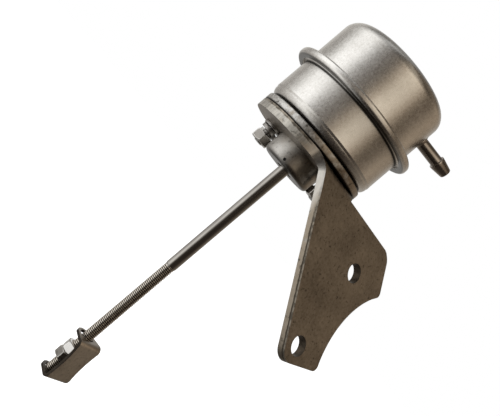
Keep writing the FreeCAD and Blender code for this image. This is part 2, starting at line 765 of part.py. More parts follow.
leg_blank = flat("leg_blank", [
    (leg_start_left, setback),
    (leg_start_right, setback),
    (leg_start_right, wing_top_w),
    (wing_top_u, wing_top_w),
    (wing_tip_u, wing_tip_w),
    (foot_right_u, foot_right_w),
    (foot_left_u, foot_left_w),
    (leg_shoulder_u, leg_shoulder_w),
], strap, {4: (waist_radius, -1)}, [
    (hole_one_u, hole_one_w, hole_radius),
    (hole_two_u, hole_two_w, hole_radius),
])
leg_rounds = (
    (wing_top_u, wing_top_w, wing_top_round),
    (wing_tip_u, wing_tip_w, wing_tip_round),
    (foot_right_u, foot_right_w, foot_right_round),
    (foot_left_u, foot_left_w, foot_left_round),
)
for u, w, radius in leg_rounds:
    softened(leg_blank, posts(leg_blank.Shape, [(u, w)]), radius)
leg_blank.Placement = FreeCAD.Placement(
    FreeCAD.Vector(corner_x.value, 0, 0),
    down.multiply(lay),
)
leg_blank.setExpression(".Placement.Base.x", corner_x.text)

bend_body = doc.addObject("PartDesign::Body", "bend_ring")
bend_sketch = outline(bend_body, "XY_Plane", "bend_section", [
    (bend_inner, -bend_side),
    (bend_outer, -bend_side),
    (bend_outer, bend_side),
    (bend_inner, bend_side),
])
bend_sweep = bend_body.newObject("PartDesign::Revolution", "bend_sweep")
bend_sweep.Profile = bend_sketch
bend_sweep.ReferenceAxis = (bend_sketch, ["V_Axis"])
bend_sweep.Angle = bend_angle.value
bend_sweep.setExpression("Angle", bend_angle.text)
doc.recompute()
bend_body.Placement = FreeCAD.Placement(
    FreeCAD.Vector(bend_x.value, 0, -bend_outer.value),
    FreeCAD.Rotation(FreeCAD.Vector(0, 1, 0), -90),
)
bend_body.setExpression(".Placement.Base.x", bend_x.text)
bend_body.setExpression(".Placement.Base.z", (-bend_outer).text)
chord = setback * math.cos(slope * 0.5)
bend_trim = flat("bend_trim", [
    (-bend_side, -chord),
    (bend_side, -chord),
    (leg_start_right, chord),
    (leg_start_left, chord),
], strap * 4.0)
bend_trim.Placement = FreeCAD.Placement(
    FreeCAD.Vector(corner_x.value, 0, 0),
    half_down.multiply(lay),
)
bracket_bend = doc.addObject("Part::MultiCommon", "bracket_bend")
bracket_bend.Shapes = [bend_body, bend_trim]
bracket = doc.addObject("Part::MultiFuse", "bracket")
bracket.Shapes = [bracket_flange, bracket_bend, leg_blank]
bracket.Refine = True
doc.recompute()

# Studs: two studs with flat heads inside the can, through floor, plate and bracket.
stack_low = strap + washer_thick + split_thick + split_rise
stud_end = stack_low + nut_thick + 0.6
studs = doc.addObject("PartDesign::Body", "studs")
stud_sketch = outline(studs, "XZ_Plane", "stud_section", [
    (stud_circle, floor_top + stud_head_thick),
    (stud_circle + stud_head, floor_top + stud_head_thick),
    (stud_circle + stud_head, floor_top),
    (stud_circle + stud_radius, floor_top),
    (stud_circle + stud_radius, -(stud_end - 0.6)),
    (stud_circle + stud_radius - 0.6, -stud_end),
    (stud_circle, -stud_end),
])
stud_turning = studs.newObject("PartDesign::Revolution", "stud_turning")
stud_turning.Profile = stud_sketch
stud_turning.ReferenceAxis = (stud_sketch, ["Edge7"])
stud_turning.Angle = 360
doc.recompute()
paired(studs, [stud_turning])

# Flat washers under the bracket's flange, one on each stud.
flat_washers = doc.addObject("PartDesign::Body", "flat_washers")
washer_sketch = outline(flat_washers, "XZ_Plane", "washer_section", [
    (stud_circle + stud_hole, -strap),
    (stud_circle + washer_radius, -strap),
    (stud_circle + washer_radius, -(strap + washer_thick)),
    (stud_circle + stud_hole, -(strap + washer_thick)),
])
washer_axis = washer_sketch.addGeometry(
    Part.LineSegment(FreeCAD.Vector(stud_circle.value, 0, 0), FreeCAD.Vector(stud_circle.value, 9, 0)), True)
washer_sketch.addConstraint(Sketcher.Constraint("Vertical", washer_axis))
for kind, item in (("DistanceX", stud_circle), ("DistanceY", as_length(0))):
    number = washer_sketch.addConstraint(Sketcher.Constraint(kind, -1, 1, washer_axis, 1, item.value))
    washer_sketch.setExpression("Constraints[%d]" % number, item.text)
washer_turning = flat_washers.newObject("PartDesign::Revolution", "washer_turning")
washer_turning.Profile = washer_sketch
washer_turning.ReferenceAxis = (washer_sketch, ["Axis0"])
washer_turning.Angle = 360
doc.recompute()
paired(flat_washers, [washer_turning])

# Spring washers: rectangular wire wound to an open turn, between flat washer and nut.
split_steps = 20
split_open = math.radians(345.0)
split_inner = stud_hole.value
sections = []
for step in range(split_steps + 1):
    turn = split_open * step / split_steps
    top = -(strap.value + washer_thick.value) - split_rise.value * step / split_steps
    ring = []
    for reach, drop in ((split_inner, 0), (split_radius.value, 0), (split_radius.value, 1), (split_inner, 1)):
        height = top - drop * split_thick.value
        ring.append(FreeCAD.Vector(reach * math.cos(turn), reach * math.sin(turn), height))
    sections.append(Part.makePolygon(ring + [ring[0]]))
one_split = Part.makeLoft(sections, True, True)
split_shapes = []
for quarter in (0, 180):
    direction = math.radians(stud_azimuth.value + quarter)
    placed = one_split.copy()
    reach = stud_circle.value
    placed.Placement = FreeCAD.Placement(
        FreeCAD.Vector(reach * math.cos(direction), reach * math.sin(direction), 0),
        FreeCAD.Rotation(FreeCAD.Vector(0, 0, 1), -140.0),
    )
    split_shapes.append(placed)
spring_washers = doc.addObject("Part::Feature", "spring_washers")
spring_washers.Shape = Part.makeCompound(split_shapes)

# Stud nuts: hexagon nuts with chamfered corners.
corner = nut_across * (1.0 / math.sqrt(3.0))
stud_nuts = doc.addObject("PartDesign::Body", "stud_nuts")
hexagon = []
for number in range(6):
    angle = math.radians(60.0 * number)
    hexagon.append((stud_circle + corner * math.cos(angle), corner * math.sin(angle)))
nut_sketch = outline(stud_nuts, "XY_Plane", "nut_outline", hexagon, None, [
    (stud_circle, 0, stud_radius + nut_fit),
])
nut_pad = stud_nuts.newObject("PartDesign::Pad", "nut_pad")
nut_pad.Profile = nut_sketch
nut_pad.setExpression("Length", nut_thick.text)
doc.recompute()
stud_nuts.Tip = nut_pad
bevel = corner - nut_across * 0.5
nut_bevels = []
for name, level, toward in (("low", as_length(0), 1.0), ("high", nut_thick, -1.0)):
    ring_sketch = outline(stud_nuts, "XZ_Plane", "bevel_%s" % name, [
        (stud_circle + nut_across * 0.49, level),
        (stud_circle + corner * 1.2, level),
        (stud_circle + corner * 1.2, level + (corner * 1.2 - nut_across * 0.49) * (0.55 * toward)),
    ])
    axis = ring_sketch.addGeometry(
        Part.LineSegment(FreeCAD.Vector(stud_circle.value, 0, 0), FreeCAD.Vector(stud_circle.value, 9, 0)), True)
    ring_sketch.addConstraint(Sketcher.Constraint("Vertical", axis))
    number = ring_sketch.addConstraint(Sketcher.Constraint("DistanceX", -1, 1, axis, 1, stud_circle.value))
    ring_sketch.setExpression("Constraints[%d]" % number, stud_circle.text)
    groove = stud_nuts.newObject("PartDesign::Groove", "nut_bevel_%s" % name)
    groove.Profile = ring_sketch
    groove.ReferenceAxis = (ring_sketch, ["Axis0"])
    groove.Angle = 360
    doc.recompute()
    nut_bevels.append(groove)
paired(stud_nuts, [nut_pad] + nut_bevels)
stud_nuts.setExpression(".Placement.Base.z", (-(stack_low + nut_thick)).text)

# Hose nipple: turned stem brazed into the upper shell's wall, with one barb and a bore.
nipple_blank = doc.addObject("PartDesign::Body", "nipple_blank")
inside_end = can_radius - can_sheet * 2.0
nipple_sketch = outline(nipple_blank, "XZ_Plane", "nipple_section", [
    (inside_end, nipple_bore),
    (inside_end, nipple_stem),
    (can_radius - 0.5, nipple_stem),
    (can_radius - 0.5, nipple_collar),
    (can_radius + 0.5, nipple_collar),
    (can_radius + 1.7, nipple_stem),
    (barb_start, nipple_stem),
    (barb_start, barb_radius),
    (barb_start + 1.0, barb_radius),
    (nipple_tip - 0.5, tip_radius),
    (nipple_tip, tip_radius - 0.5),
    (nipple_tip, nipple_bore),
])
nipple_turning = nipple_blank.newObject("PartDesign::Revolution", "nipple_turning")
nipple_turning.Profile = nipple_sketch
nipple_turning.ReferenceAxis = (nipple_sketch, ["H_Axis"])
nipple_turning.Angle = 360
nipple_blank.setExpression(".Placement.Base.z", nipple_height.text)
doc.recompute()
shell_block = pillar("shell_block", can_radius, can_top)
shell_core = pillar("shell_core", can_radius, can_top)
stem_keep = pillar("stem_keep", nipple_stem, can_radius * 1.2, 0, 0, nipple_height)
stem_keep.Placement.Rotation = FreeCAD.Rotation(0, 90, 0)
wall_tool = bored("wall_tool", shell_block, [stem_keep])
nipple_fitted = bored("nipple_fitted", nipple_blank, [wall_tool])
hose_nipple = doc.addObject("Part::Compound", "hose_nipple")
hose_nipple.Links = [nipple_fitted]
hose_nipple.Placement.Rotation = FreeCAD.Rotation(nipple_azimuth.value, 0, 0)
doc.recompute()


def rod_nut(name, top, turn):
    """Hexagon nut on the rod's thread, its upper face at the given depth."""
    body = doc.addObject("PartDesign::Body", name + "_hexagon")
    ring = []
    for number in range(6):
        angle = math.radians(60.0 * number + 30.0)
        ring.append((corner * math.cos(angle), corner * math.sin(angle)))
    sketch = outline(body, "XY_Plane", name + "_outline", ring, None, [
        (0, 0, thread_radius + nut_fit),
    ])
    pad = body.newObject("PartDesign::Pad", name + "_pad")
    pad.Profile = sketch
    pad.setExpression("Length", nut_thick.text)
    rise = (corner - nut_across * 0.49) * 0.55
    cone = turned(name + "_cone", [
        (0, 0),
        (nut_across * 0.49, 0),
        (corner, rise),
        (corner, nut_thick - rise),
        (nut_across * 0.49, nut_thick),
        (0, nut_thick),
    ])
    nut = doc.addObject("Part::MultiCommon", name)
    nut.Shapes = [body, cone]
    nut.setExpression(".Placement.Base.z", (-(top + nut_thick)).text)
    nut.setExpression(".Placement.Rotation.Angle", turn.text)
    doc.recompute()
    return nut


# Rod nuts: the adjusting nut and the jam nut that locks it, both between the clip's ears.
adjusting_nut = rod_nut("adjusting_nut", adjuster_top, adjuster_turn)
jam_nut = rod_nut("jam_nut", adjuster_top + nut_thick + nut_gap, jam_turn)

# Rod clip: strip folded to a U. The web has hollow sides and stands beside the nuts. The two
# ears taper to round ends and reach over the rod with wide holes, so the clip hangs loose.
clip_half = clip_width * 0.5
clip_strip = doc.addObject("PartDesign::Body", "clip_strip")
clip_far = clip_web + clip_sheet
clip_fold = outline(clip_strip, "XZ_Plane", "clip_section", [
    (-clip_half, 0),
    (clip_far - clip_bend - clip_sheet, 0),
    (clip_far, -(clip_bend + clip_sheet)),
    (clip_far, -(clip_height - clip_bend - clip_sheet)),
    (clip_far - clip_bend - clip_sheet, -clip_height),
    (-clip_half, -clip_height),
    (-clip_half, clip_sheet - clip_height),
    (clip_web - clip_bend, clip_sheet - clip_height),
    (clip_web, -(clip_height - clip_bend - clip_sheet)),
    (clip_web, -(clip_bend + clip_sheet)),
    (clip_web - clip_bend, -clip_sheet),
    (-clip_half, -clip_sheet),
], {
    1: (clip_bend + clip_sheet, -1),
    3: (clip_bend + clip_sheet, -1),
    7: (clip_bend, 1),
    9: (clip_bend, 1),
})
clip_pad = clip_strip.newObject("PartDesign::Pad", "clip_pad")
clip_pad.Profile = clip_fold
clip_pad.setExpression("Length", clip_width.text)
clip_pad.Midplane = True
doc.recompute()
fold_start = clip_far - clip_bend - clip_sheet
ear_keep = flat("ear_keep", [
    (clip_ear * -0.25, clip_ear * -0.968),
    (fold_start, -clip_half),
    (clip_far * 1.5, -clip_half),
    (clip_far * 1.5, clip_half),
    (fold_start, clip_half),
    (clip_ear * -0.25, clip_ear * 0.968),
], clip_height * 2.0, {5: (clip_ear, 1)})
ear_keep.setExpression(".Placement.Base.z", (clip_height * -1.5).text)
clip_round = doc.addObject("Part::MultiCommon", "clip_round")
clip_round.Shapes = [clip_strip, ear_keep]
clip_tools = [pillar("clip_drill", clip_hole, clip_height * 2.0, 0, 0, clip_height * -1.5)]
for name, side in (("waist_one", 1.0), ("waist_two", -1.0)):
    waist_side = (clip_half + clip_waist - clip_hollow) * side
    waist_tool = pillar(name, clip_waist, clip_far, clip_web * 0.7, waist_side, clip_height * -0.5)
    waist_tool.Placement.Rotation = FreeCAD.Rotation(0, 90, 0)
    clip_tools.append(waist_tool)
clip_level = bored("clip_level", clip_round, clip_tools)
rod_clip = doc.addObject("Part::Compound", "rod_clip")
rod_clip.Links = [clip_level]
lean_way = math.radians(clip_lean_axis.value + 90.0)
lean_about = FreeCAD.Vector(math.cos(lean_way), math.sin(lean_way), 0)
swivel = FreeCAD.Rotation(FreeCAD.Vector(0, 0, 1), clip_turn.value)
lean = FreeCAD.Rotation(lean_about, clip_lean.value)
middle = FreeCAD.Vector(0, 0, -clip_height.value * 0.5)
standing = FreeCAD.Vector(0, 0, -(clip_top.value + clip_height.value * 0.5))
turned_clip = lean.multiply(swivel)
rod_clip.Placement = FreeCAD.Placement(standing - turned_clip.multVec(middle), turned_clip)
doc.recompute()

nodes = [
    upper_can, lower_can, diaphragm, piston_cup, retainer_plate, head_washer, rod,
    return_spring, spring_seat, mounting_plate, rod_bush, guide_cup, wiper_seal, bracket,
    studs, flat_washers, spring_washers, stud_nuts, hose_nipple, adjusting_nut, jam_nut, rod_clip,
]
for item in doc.Objects:
    if "Invalid" in item.State or "Error" in item.State:
        raise RuntimeError("feature failed: " + item.Name)
os.makedirs("parts", exist_ok=True)
for node in nodes:
    shape = node.Shape
    if shape.isNull() or not shape.isValid():
        raise RuntimeError("bad shape: " + node.Label)
    if not shape.Solids:
        raise RuntimeError("no solid: " + node.Label)
    shape.exportStep("parts/%s.step" % node.Label)
    box = shape.BoundBox
    print("%-16s solids %d volume %9.1f  x %7.2f %7.2f  y %7.2f %7.2f  z %7.2f %7.2f" % (
        node.Label, len(shape.Solids), shape.Volume,
        box.XMin, box.XMax, box.YMin, box.YMax, box.ZMin, box.ZMax))
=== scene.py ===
"""Looks of a wastegate actuator: a satin pressure can on a cranked bracket with its push rod.

Sizes in the sections are millimetres in the part's own frame: the rod is the Z axis, Z is zero
at the clamp plane over the bracket's flange, and the bracket's leg is cranked down towards +X.
"""

import bmesh
import bpy
import math
import numpy as np
from mathutils import Matrix, Vector


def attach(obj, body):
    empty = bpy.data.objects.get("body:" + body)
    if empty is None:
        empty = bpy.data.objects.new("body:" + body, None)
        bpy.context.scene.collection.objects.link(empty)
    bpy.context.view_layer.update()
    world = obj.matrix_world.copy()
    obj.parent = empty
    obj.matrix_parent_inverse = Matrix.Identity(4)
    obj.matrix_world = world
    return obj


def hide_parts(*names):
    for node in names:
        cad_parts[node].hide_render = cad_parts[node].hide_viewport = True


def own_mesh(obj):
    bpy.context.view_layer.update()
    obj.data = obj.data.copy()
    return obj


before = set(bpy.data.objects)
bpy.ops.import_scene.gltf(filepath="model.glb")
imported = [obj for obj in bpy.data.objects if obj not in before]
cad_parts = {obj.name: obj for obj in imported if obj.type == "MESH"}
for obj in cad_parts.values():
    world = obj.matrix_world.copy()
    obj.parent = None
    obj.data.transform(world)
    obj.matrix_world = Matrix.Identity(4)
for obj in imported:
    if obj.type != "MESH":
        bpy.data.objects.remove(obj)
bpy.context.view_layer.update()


# Lower shell: drawn stainless cup that stands on the mounting plate. Its flat flange is caught
# in the upper shell's rolled bead, and its foot keeps the punch's round edge.

def rounded(corners, radii, steps=6):
    """Polyline through the corners, each one replaced by an arc of its own radius.

    The arc touches both sides at r / tan(half the corner's angle) from the corner.
    """
    corners = np.asarray(corners, float)
    radii = np.broadcast_to(np.asarray(radii, float), (len(corners),))
    parts = []
    for place, radius in enumerate(radii):
        point = corners[place]
        back = corners[place - 1] - point
        ahead = corners[(place + 1) % len(corners)] - point
        back = back / max(np.linalg.norm(back), 1e-9)
        ahead = ahead / max(np.linalg.norm(ahead), 1e-9)
        half = 0.5 * math.acos(float(np.clip(back @ ahead, -1, 1)))
        if radius <= 0 or half > math.radians(88):
            parts.append(point[None])
            continue
        reach = radius / math.tan(half)
        middle = (back + ahead) / np.linalg.norm(back + ahead)
        centre = point + middle * radius / math.sin(half)
        start = point + back * reach - centre
        end = point + ahead * reach - centre
        span = math.atan2(start[0] * end[1] - start[1] * end[0], start @ end)
        turn = np.linspace(0, span, steps + 1)
        parts.append(centre + np.stack([
            start[0] * np.cos(turn) - start[1] * np.sin(turn),
            start[0] * np.sin(turn) + start[1] * np.cos(turn),
        ], axis=1))
    return np.concatenate(parts)


def surface(name, points, wrap_rows=True, wrap_columns=True):
    """Quad mesh over a grid of points in millimetres, its rows and columns closed as asked.

    Points that fall together, as at a pole on the axis, are merged.
    """
    rows, columns = points.shape[:2]
    number = np.arange(rows * columns).reshape(rows, columns)
    below = number if wrap_rows else number[:-1]
    above = np.roll(number, -1, axis=0)[:len(below)]
    if not wrap_columns:
        quads = np.stack([below[:, :-1], below[:, 1:], above[:, 1:], above[:, :-1]], axis=-1)
    else:
        quads = np.stack([below, np.roll(below, -1, 1), np.roll(above, -1, 1), above], axis=-1)
    mesh = bpy.data.meshes.new(name)
    mesh.from_pydata((points.reshape(-1, 3) * 0.001).tolist(), [], quads.reshape(-1, 4).tolist())
    work = bmesh.new()
    work.from_mesh(mesh)
    bmesh.ops.remove_doubles(work, verts=work.verts, dist=1e-7)
    bmesh.ops.recalc_face_normals(work, faces=work.faces)
    work.to_mesh(mesh)
    work.free()
    mesh.polygons.foreach_set("use_smooth", np.ones(len(mesh.polygons), bool))
    mesh.update()
    return mesh


def ring_rows(profile, columns):
    """Rows of points round Z: profile point (r, z) goes to (r cos a, r sin a, z) for each angle a."""
    profile = np.asarray(profile, float)
    angle = np.linspace(0, 2 * math.pi, columns, endpoint=False)
    points = np.empty((len(profile), columns, 3))
    points[..., 0] = profile[:, :1] * np.cos(angle)
    points[..., 1] = profile[:, :1] * np.sin(angle)
    points[..., 2] = profile[:, 1:]
    return points


def turned(name, profile, steps, closed=True):
    """Surface of revolution of the profile, with the given number of steps round it."""
    mesh = surface(name, ring_rows(profile, steps), closed, True)
    mesh.set_sharp_from_angle(angle=math.radians(40))
    return mesh


def new_object(name, data):
    """Object that shows the given mesh, lamp or camera in the scene."""
    item = bpy.data.objects.new(name, data)
    bpy.context.scene.collection.objects.link(item)
    return item


def placed(name, mesh, body, nodes, materials):
    """Put the finished mesh into the scene as one piece that stands for the named CAD nodes."""
    piece = new_object(name, mesh)
    for material in materials:
        mesh.materials.append(material)
    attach(piece, body)
    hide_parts(*nodes)
    return piece


def linked(tree, kind, inputs=None, **settings):
    """New shader node with its settings, and values or links for its inputs."""
    node = tree.nodes.new(kind)
    for key, value in settings.items():
        setattr(node, key, value)
    for key, value in (inputs or {}).items():
        if isinstance(value, bpy.types.NodeSocket):
            tree.links.new(value, node.inputs[key])
        else:
            node.inputs[key].default_value = value
    return node


def worked(tree, operation, *terms):
    """Result of one Math node on the terms."""
    return linked(tree, "ShaderNodeMath", dict(enumerate(terms)), operation=operation).outputs["Value"]


def ranged(tree, value, low, high, start=0.0, end=1.0, **settings):
    """The value carried from low..high to start..end, and held there beyond them."""
    node = linked(tree, "ShaderNodeMapRange", {
        "Value": value, "From Min": low, "From Max": high, "To Min": start, "To Max": end}, **settings)
    return node.outputs["Result"]


def blended(tree, share, under, over):
    """Colour that goes from under to over while the share goes from 0 to 1."""
    under, over = ((*colour, 1.0) if isinstance(colour, tuple) else colour for colour in (under, over))
    node = linked(tree, "ShaderNodeMix", {"Factor": share, "A": under, "B": over}, data_type="RGBA")
    return node.outputs["Result"]


def steel_grain_group():
    """Shader group for worked steel: cloudy tone, fine grain and drawn lines along Z."""
    group = bpy.data.node_groups.new("steel_grain", "ShaderNodeTree")
    side = group.interface
    side.new_socket("Vector", in_out="INPUT", socket_type="NodeSocketVector")
    side.new_socket("Cloud Scale", in_out="INPUT", socket_type="NodeSocketFloat")
    side.new_socket("Grain Scale", in_out="INPUT", socket_type="NodeSocketFloat")
    side.new_socket("Clouds", in_out="OUTPUT", socket_type="NodeSocketFloat")
    side.new_socket("Grain", in_out="OUTPUT", socket_type="NodeSocketFloat")
    side.new_socket("Lines", in_out="OUTPUT", socket_type="NodeSocketFloat")
    enter = group.nodes.new("NodeGroupInput")
    leave = group.nodes.new("NodeGroupOutput")
    vector = enter.outputs["Vector"]
    clouds = linked(group, "ShaderNodeTexNoise", {
        "Vector": vector, "Scale": enter.outputs["Cloud Scale"], "Detail": 4.0, "Roughness": 0.55})
    grain = linked(group, "ShaderNodeTexNoise", {
        "Vector": vector, "Scale": enter.outputs["Grain Scale"], "Detail": 3.0, "Roughness": 0.6})
    drawn = linked(group, "ShaderNodeMapping", {"Vector": vector, "Scale": (1.0, 1.0, 0.04)})
    lines = linked(group, "ShaderNodeTexNoise", {
        "Vector": drawn.outputs["Vector"], "Scale": enter.outputs["Grain Scale"], "Detail": 2.0})
    for source, target in ((clouds, "Clouds"), (grain, "Grain"), (lines, "Lines")):
        group.links.new(source.outputs["Fac"], leave.inputs[target])
    return group


steel_grain = steel_grain_group()


def steel(name, dark, light, roughness, spread, cloud_scale, grain_scale, bump,
          source="Grain", pitted=0.0, dark_bands=(), stain=None, spot_scale=450.0):
    """Bare metal whose colour runs from dark to light with the clouds and the grain.

    roughness is the middle value, spread is how far the grain changes it, and bump is in mm.
    Each dark band is (height, reach, strength) in mm: a level band painted darker; the bands in the
    seams between parts, under the bead, at the cup's bottom and in the clip's folds are painted shade.
    stain is a colour that covers the metal in soft patches, more of them towards +X +Y. pitted is the
    strength of small dark spots.
    """
    material = bpy.data.materials.new(name)
    material.use_nodes = True
    tree = material.node_tree
    shader = tree.nodes["Principled BSDF"]
    shader.inputs["Metallic"].default_value = 1.0
    place = linked(tree, "ShaderNodeTexCoord").outputs["Object"]
    effect = linked(tree, "ShaderNodeGroup", node_tree=steel_grain)
    tree.links.new(place, effect.inputs["Vector"])
    effect.inputs["Cloud Scale"].default_value = cloud_scale
    effect.inputs["Grain Scale"].default_value = grain_scale
    tone = worked(tree, "ADD", effect.outputs["Clouds"], effect.outputs[source])
    shaded = blended(tree, ranged(tree, tone, 0.7, 1.3), dark, light)
    if stain:
        patches = linked(tree, "ShaderNodeTexNoise", {
            "Vector": place, "Scale": cloud_scale * 0.6, "Detail": 5.0})
        along = linked(tree, "ShaderNodeVectorMath", {
            0: place, 1: (3.6, 4.8, 0.0)}, operation="DOT_PRODUCT")
        biased = worked(tree, "ADD", patches.outputs["Fac"], along.outputs["Value"])
        shaded = blended(tree, ranged(tree, biased, 0.46, 0.62, end=0.8), shaded, stain)
    if pitted:
        dots = linked(tree, "ShaderNodeTexNoise", {
            "Vector": place, "Scale": spot_scale, "Detail": 3.0, "Roughness": 0.6})
        small = ranged(tree, dots.outputs["Fac"], 0.58, 0.70, end=pitted)
        shaded = blended(tree, small, shaded, (0.02, 0.018, 0.015))
    parted = linked(tree, "ShaderNodeSeparateXYZ", {"Vector": place})
    # Level bands painted darker; in the seams between parts and in folds they are painted shade.
    for level, reach, strength in dark_bands:
        apart = worked(tree, "SUBTRACT", parted.outputs["Z"], level * 0.001)
        apart = worked(tree, "ABSOLUTE", apart)
        band_share = ranged(tree, apart, reach * 0.0003, reach * 0.001, strength, 0.0,
                      interpolation_type="SMOOTHSTEP")
        shaded = blended(tree, band_share, shaded, (0.012, 0.010, 0.008))
    tree.links.new(shaded, shader.inputs["Base Color"])
    rough = ranged(tree, effect.outputs[source], 0.25, 0.75, roughness - spread, roughness + spread)
    tree.links.new(rough, shader.inputs["Roughness"])
    relief = linked(tree, "ShaderNodeBump", {
        "Height": effect.outputs[source], "Strength": 1.0, "Distance": bump * 0.001})
    tree.links.new(relief.outputs["Normal"], shader.inputs["Normal"])
    return material


plate_top = 4.3
floor_top = 5.5
flange_low = 28.4
flange_top = 29.6
flange_edge = 38.7
shell_inside = 33.1
# Painted shade: the shell is painted dark in a band under the bead and in a band at its foot on the plate.
satin_shell = steel("satin_shell", (0.47, 0.45, 0.42), (0.77, 0.75, 0.72), 0.29, 0.06, 30.0, 950.0, 0.004,
                    dark_bands=((26.9, 0.9, 0.9), (plate_top, 0.7, 0.85)))
lower_profile = rounded([
    (7.2, plate_top), (33.95, plate_top), (34.05, 8.6), (34.36, 9.6), (34.25, 11.2),
    (34.25, flange_low), (flange_edge, flange_low), (flange_edge, flange_top),
    (shell_inside, flange_top), (shell_inside, floor_top), (7.2, floor_top),
], [0.2, 4.1, 1.5, 0.8, 3.0, 1.6, 0.2, 0.2, 1.2, 3.3, 0.2], 9)
placed("lower_can_shell", turned("lower_can_shell", lower_profile, 224),
       "housing", ["lower_can"], [satin_shell])


# Spring seat: pressed steel ring on the shell's floor with a collar that centres the coils.

pressed_steel = steel("pressed_steel", (0.42, 0.42, 0.41), (0.60, 0.60, 0.59), 0.38, 0.06, 40.0, 1200.0, 0.01)
seat_top = 6.5
collar_top = 10.5
seat_profile = rounded([
    (11.9, floor_top), (17.2, floor_top), (17.2, seat_top), (12.9, seat_top),
    (12.9, collar_top), (11.9, collar_top),
], [0.8, 0.3, 0.3, 0.4, 0.3, 0.3], 4)
placed("spring_seat_ring", turned("spring_seat_ring", seat_profile, 96),
       "housing", ["spring_seat"], [pressed_steel])


# Return spring: oiled steel wire wound to seven turns. The two end turns lie close and are
# ground flat, so the wire's centre rises slowly there and evenly between them.

spring_steel = steel("spring_steel", (0.16, 0.16, 0.17), (0.27, 0.27, 0.28), 0.30, 0.06, 60.0, 900.0, 0.01)


def capped(points):
    """Rows of a tube with one more row in the middle of each end, which closes the end."""
    first = np.repeat(points[:1].mean(axis=1, keepdims=True), points.shape[1], axis=1)
    last = np.repeat(points[-1:].mean(axis=1, keepdims=True), points.shape[1], axis=1)
    return np.concatenate([first, points, last])


def coil_spring(name, radius, wire, low, high, active, dead):
    """Tube of the wire's radius round a helix, cut flat at the ground ends.

    The centre is (radius cos a, radius sin a, z(a)). z rises by a little over one wire a turn in
    the dead turns and by an equal pitch in the active turns. Points beyond the flat ends are
    moved onto them, which grinds 0.22 of the wire away.
    """
    steps_per_turn = 56
    sides = 18
    sink = 0.22 * wire
    turns = np.linspace(0, active + 2 * dead, steps_per_turn * (active + 2 * dead) + 1)
    start = low + wire * 0.5 - sink
    span = high - low - wire + 2 * sink
    close = 1.03 * wire
    pitch = (span - 2 * dead * close) / active
    height = start + np.interp(turns, [0, dead, dead + active, active + 2 * dead],
                               [0, dead * close, dead * close + active * pitch, span])
    angle = turns * 2 * math.pi
    out = np.stack([np.cos(angle), np.sin(angle), np.zeros_like(angle)], axis=1)
    centre = radius * out
    centre[:, 2] = height
    ring = np.linspace(0, 2 * math.pi, sides, endpoint=False)
    upright = np.array([0.0, 0.0, 1.0])
    points = (centre[:, None] + wire * 0.5 * np.cos(ring)[None, :, None] * out[:, None]
              + wire * 0.5 * np.sin(ring)[None, :, None] * upright)
    points[..., 2] = np.clip(points[..., 2], low, high)
    mesh = surface(name, capped(points), False, True)
    mesh.set_sharp_from_angle(angle=math.radians(45))
    return mesh


coil_radius = 15.0
spring_wire = 3.4
active_turns = 5
end_turns = 1
piston_floor = 53.05
coil_mesh = coil_spring("return_coil", coil_radius, spring_wire, seat_top, piston_floor,
                        active_turns, end_turns)
return_coil = placed("return_coil", coil_mesh, "housing", ["return_spring"], [spring_steel])
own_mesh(return_coil)


# Piston cup, retainer plate and head washer: pressed steel parts that clamp the diaphragm's
# middle and hang on the rod's riveted head.

rod_neck = 2.5
piston_top = 54.25
fabric_top = 54.95
retainer_top = 56.15
washer_top = 57.65
piston_profile = rounded([
    (rod_neck, piston_floor), (24.2, piston_floor), (24.2, 33.25), (25.4, 33.25),
    (25.4, piston_top), (rod_neck, piston_top),
], [0, 0.5, 0.3, 0.3, 1.2, 0], 4)
placed("piston_cup_shell", turned("piston_cup_shell", piston_profile, 128),
       "push_rod", ["piston_cup"], [pressed_steel])
retainer_profile = rounded([
    (rod_neck, fabric_top), (20.8, fabric_top), (22.0, 55.55), (22.0, retainer_top),
    (rod_neck, retainer_top),
], [0, 0.4, 0.2, 0.3, 0], 4)
placed("retainer_disc", turned("retainer_disc", retainer_profile, 96),
       "push_rod", ["retainer_plate"], [pressed_steel])
washer_steel = steel("washer_steel", (0.36, 0.345, 0.33), (0.52, 0.505, 0.48), 0.36, 0.07, 90.0, 1400.0, 0.01)
head_profile = rounded([
    (rod_neck, retainer_top), (7.5, retainer_top), (7.5, washer_top), (rod_neck, washer_top),
], [0, 0.2, 0.2, 0], 3)
placed("head_washer_ring", turned("head_washer_ring", head_profile, 64),
       "push_rod", ["head_washer"], [washer_steel])


# Diaphragm: moulded black rubber. Its edge is caught in the crimp, its side hangs in a rolled
# fold beside the piston, and its middle lies on the piston cup.

def rubber(name, colour):
    """Matt moulded rubber with a fine skin."""
    material = bpy.data.materials.new(name)
    material.use_nodes = True
    tree = material.node_tree
    shader = tree.nodes["Principled BSDF"]
    shader.inputs["Base Color"].default_value = (*colour, 1.0)
    place = linked(tree, "ShaderNodeTexCoord")
    skin = linked(tree, "ShaderNodeTexNoise", {"Vector": place.outputs["Object"], "Scale": 900.0})
    rough = ranged(tree, skin.outputs["Fac"], 0.0, 1.0, 0.55, 0.75)
    tree.links.new(rough, shader.inputs["Roughness"])
    relief = linked(tree, "ShaderNodeBump", {
        "Height": skin.outputs["Fac"], "Strength": 0.4, "Distance": 0.00002})
    tree.links.new(relief.outputs["Normal"], shader.inputs["Normal"])
    return material


black_rubber = rubber("black_rubber", (0.035, 0.035, 0.037))
edge_top = 30.3
fold_low = 24.6
fold_floor = 25.3
fabric_profile = rounded([
    (rod_neck, piston_top), (25.9, piston_top), (25.9, fold_low), (32.8, fold_low),
    (32.8, flange_top), (flange_edge, flange_top), (flange_edge, edge_top), (32.1, edge_top),
    (32.1, fold_floor), (26.6, fold_floor), (26.6, fabric_top), (rod_neck, fabric_top),
], [0, 0.3, 3.0, 3.0, 0.2, 0, 0, 0.8, 2.3, 2.3, 1.0, 0], 8)
fold = placed("diaphragm_rubber", turned("diaphragm_rubber", fabric_profile, 128),
              "housing", ["diaphragm"], [black_rubber])
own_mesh(fold)


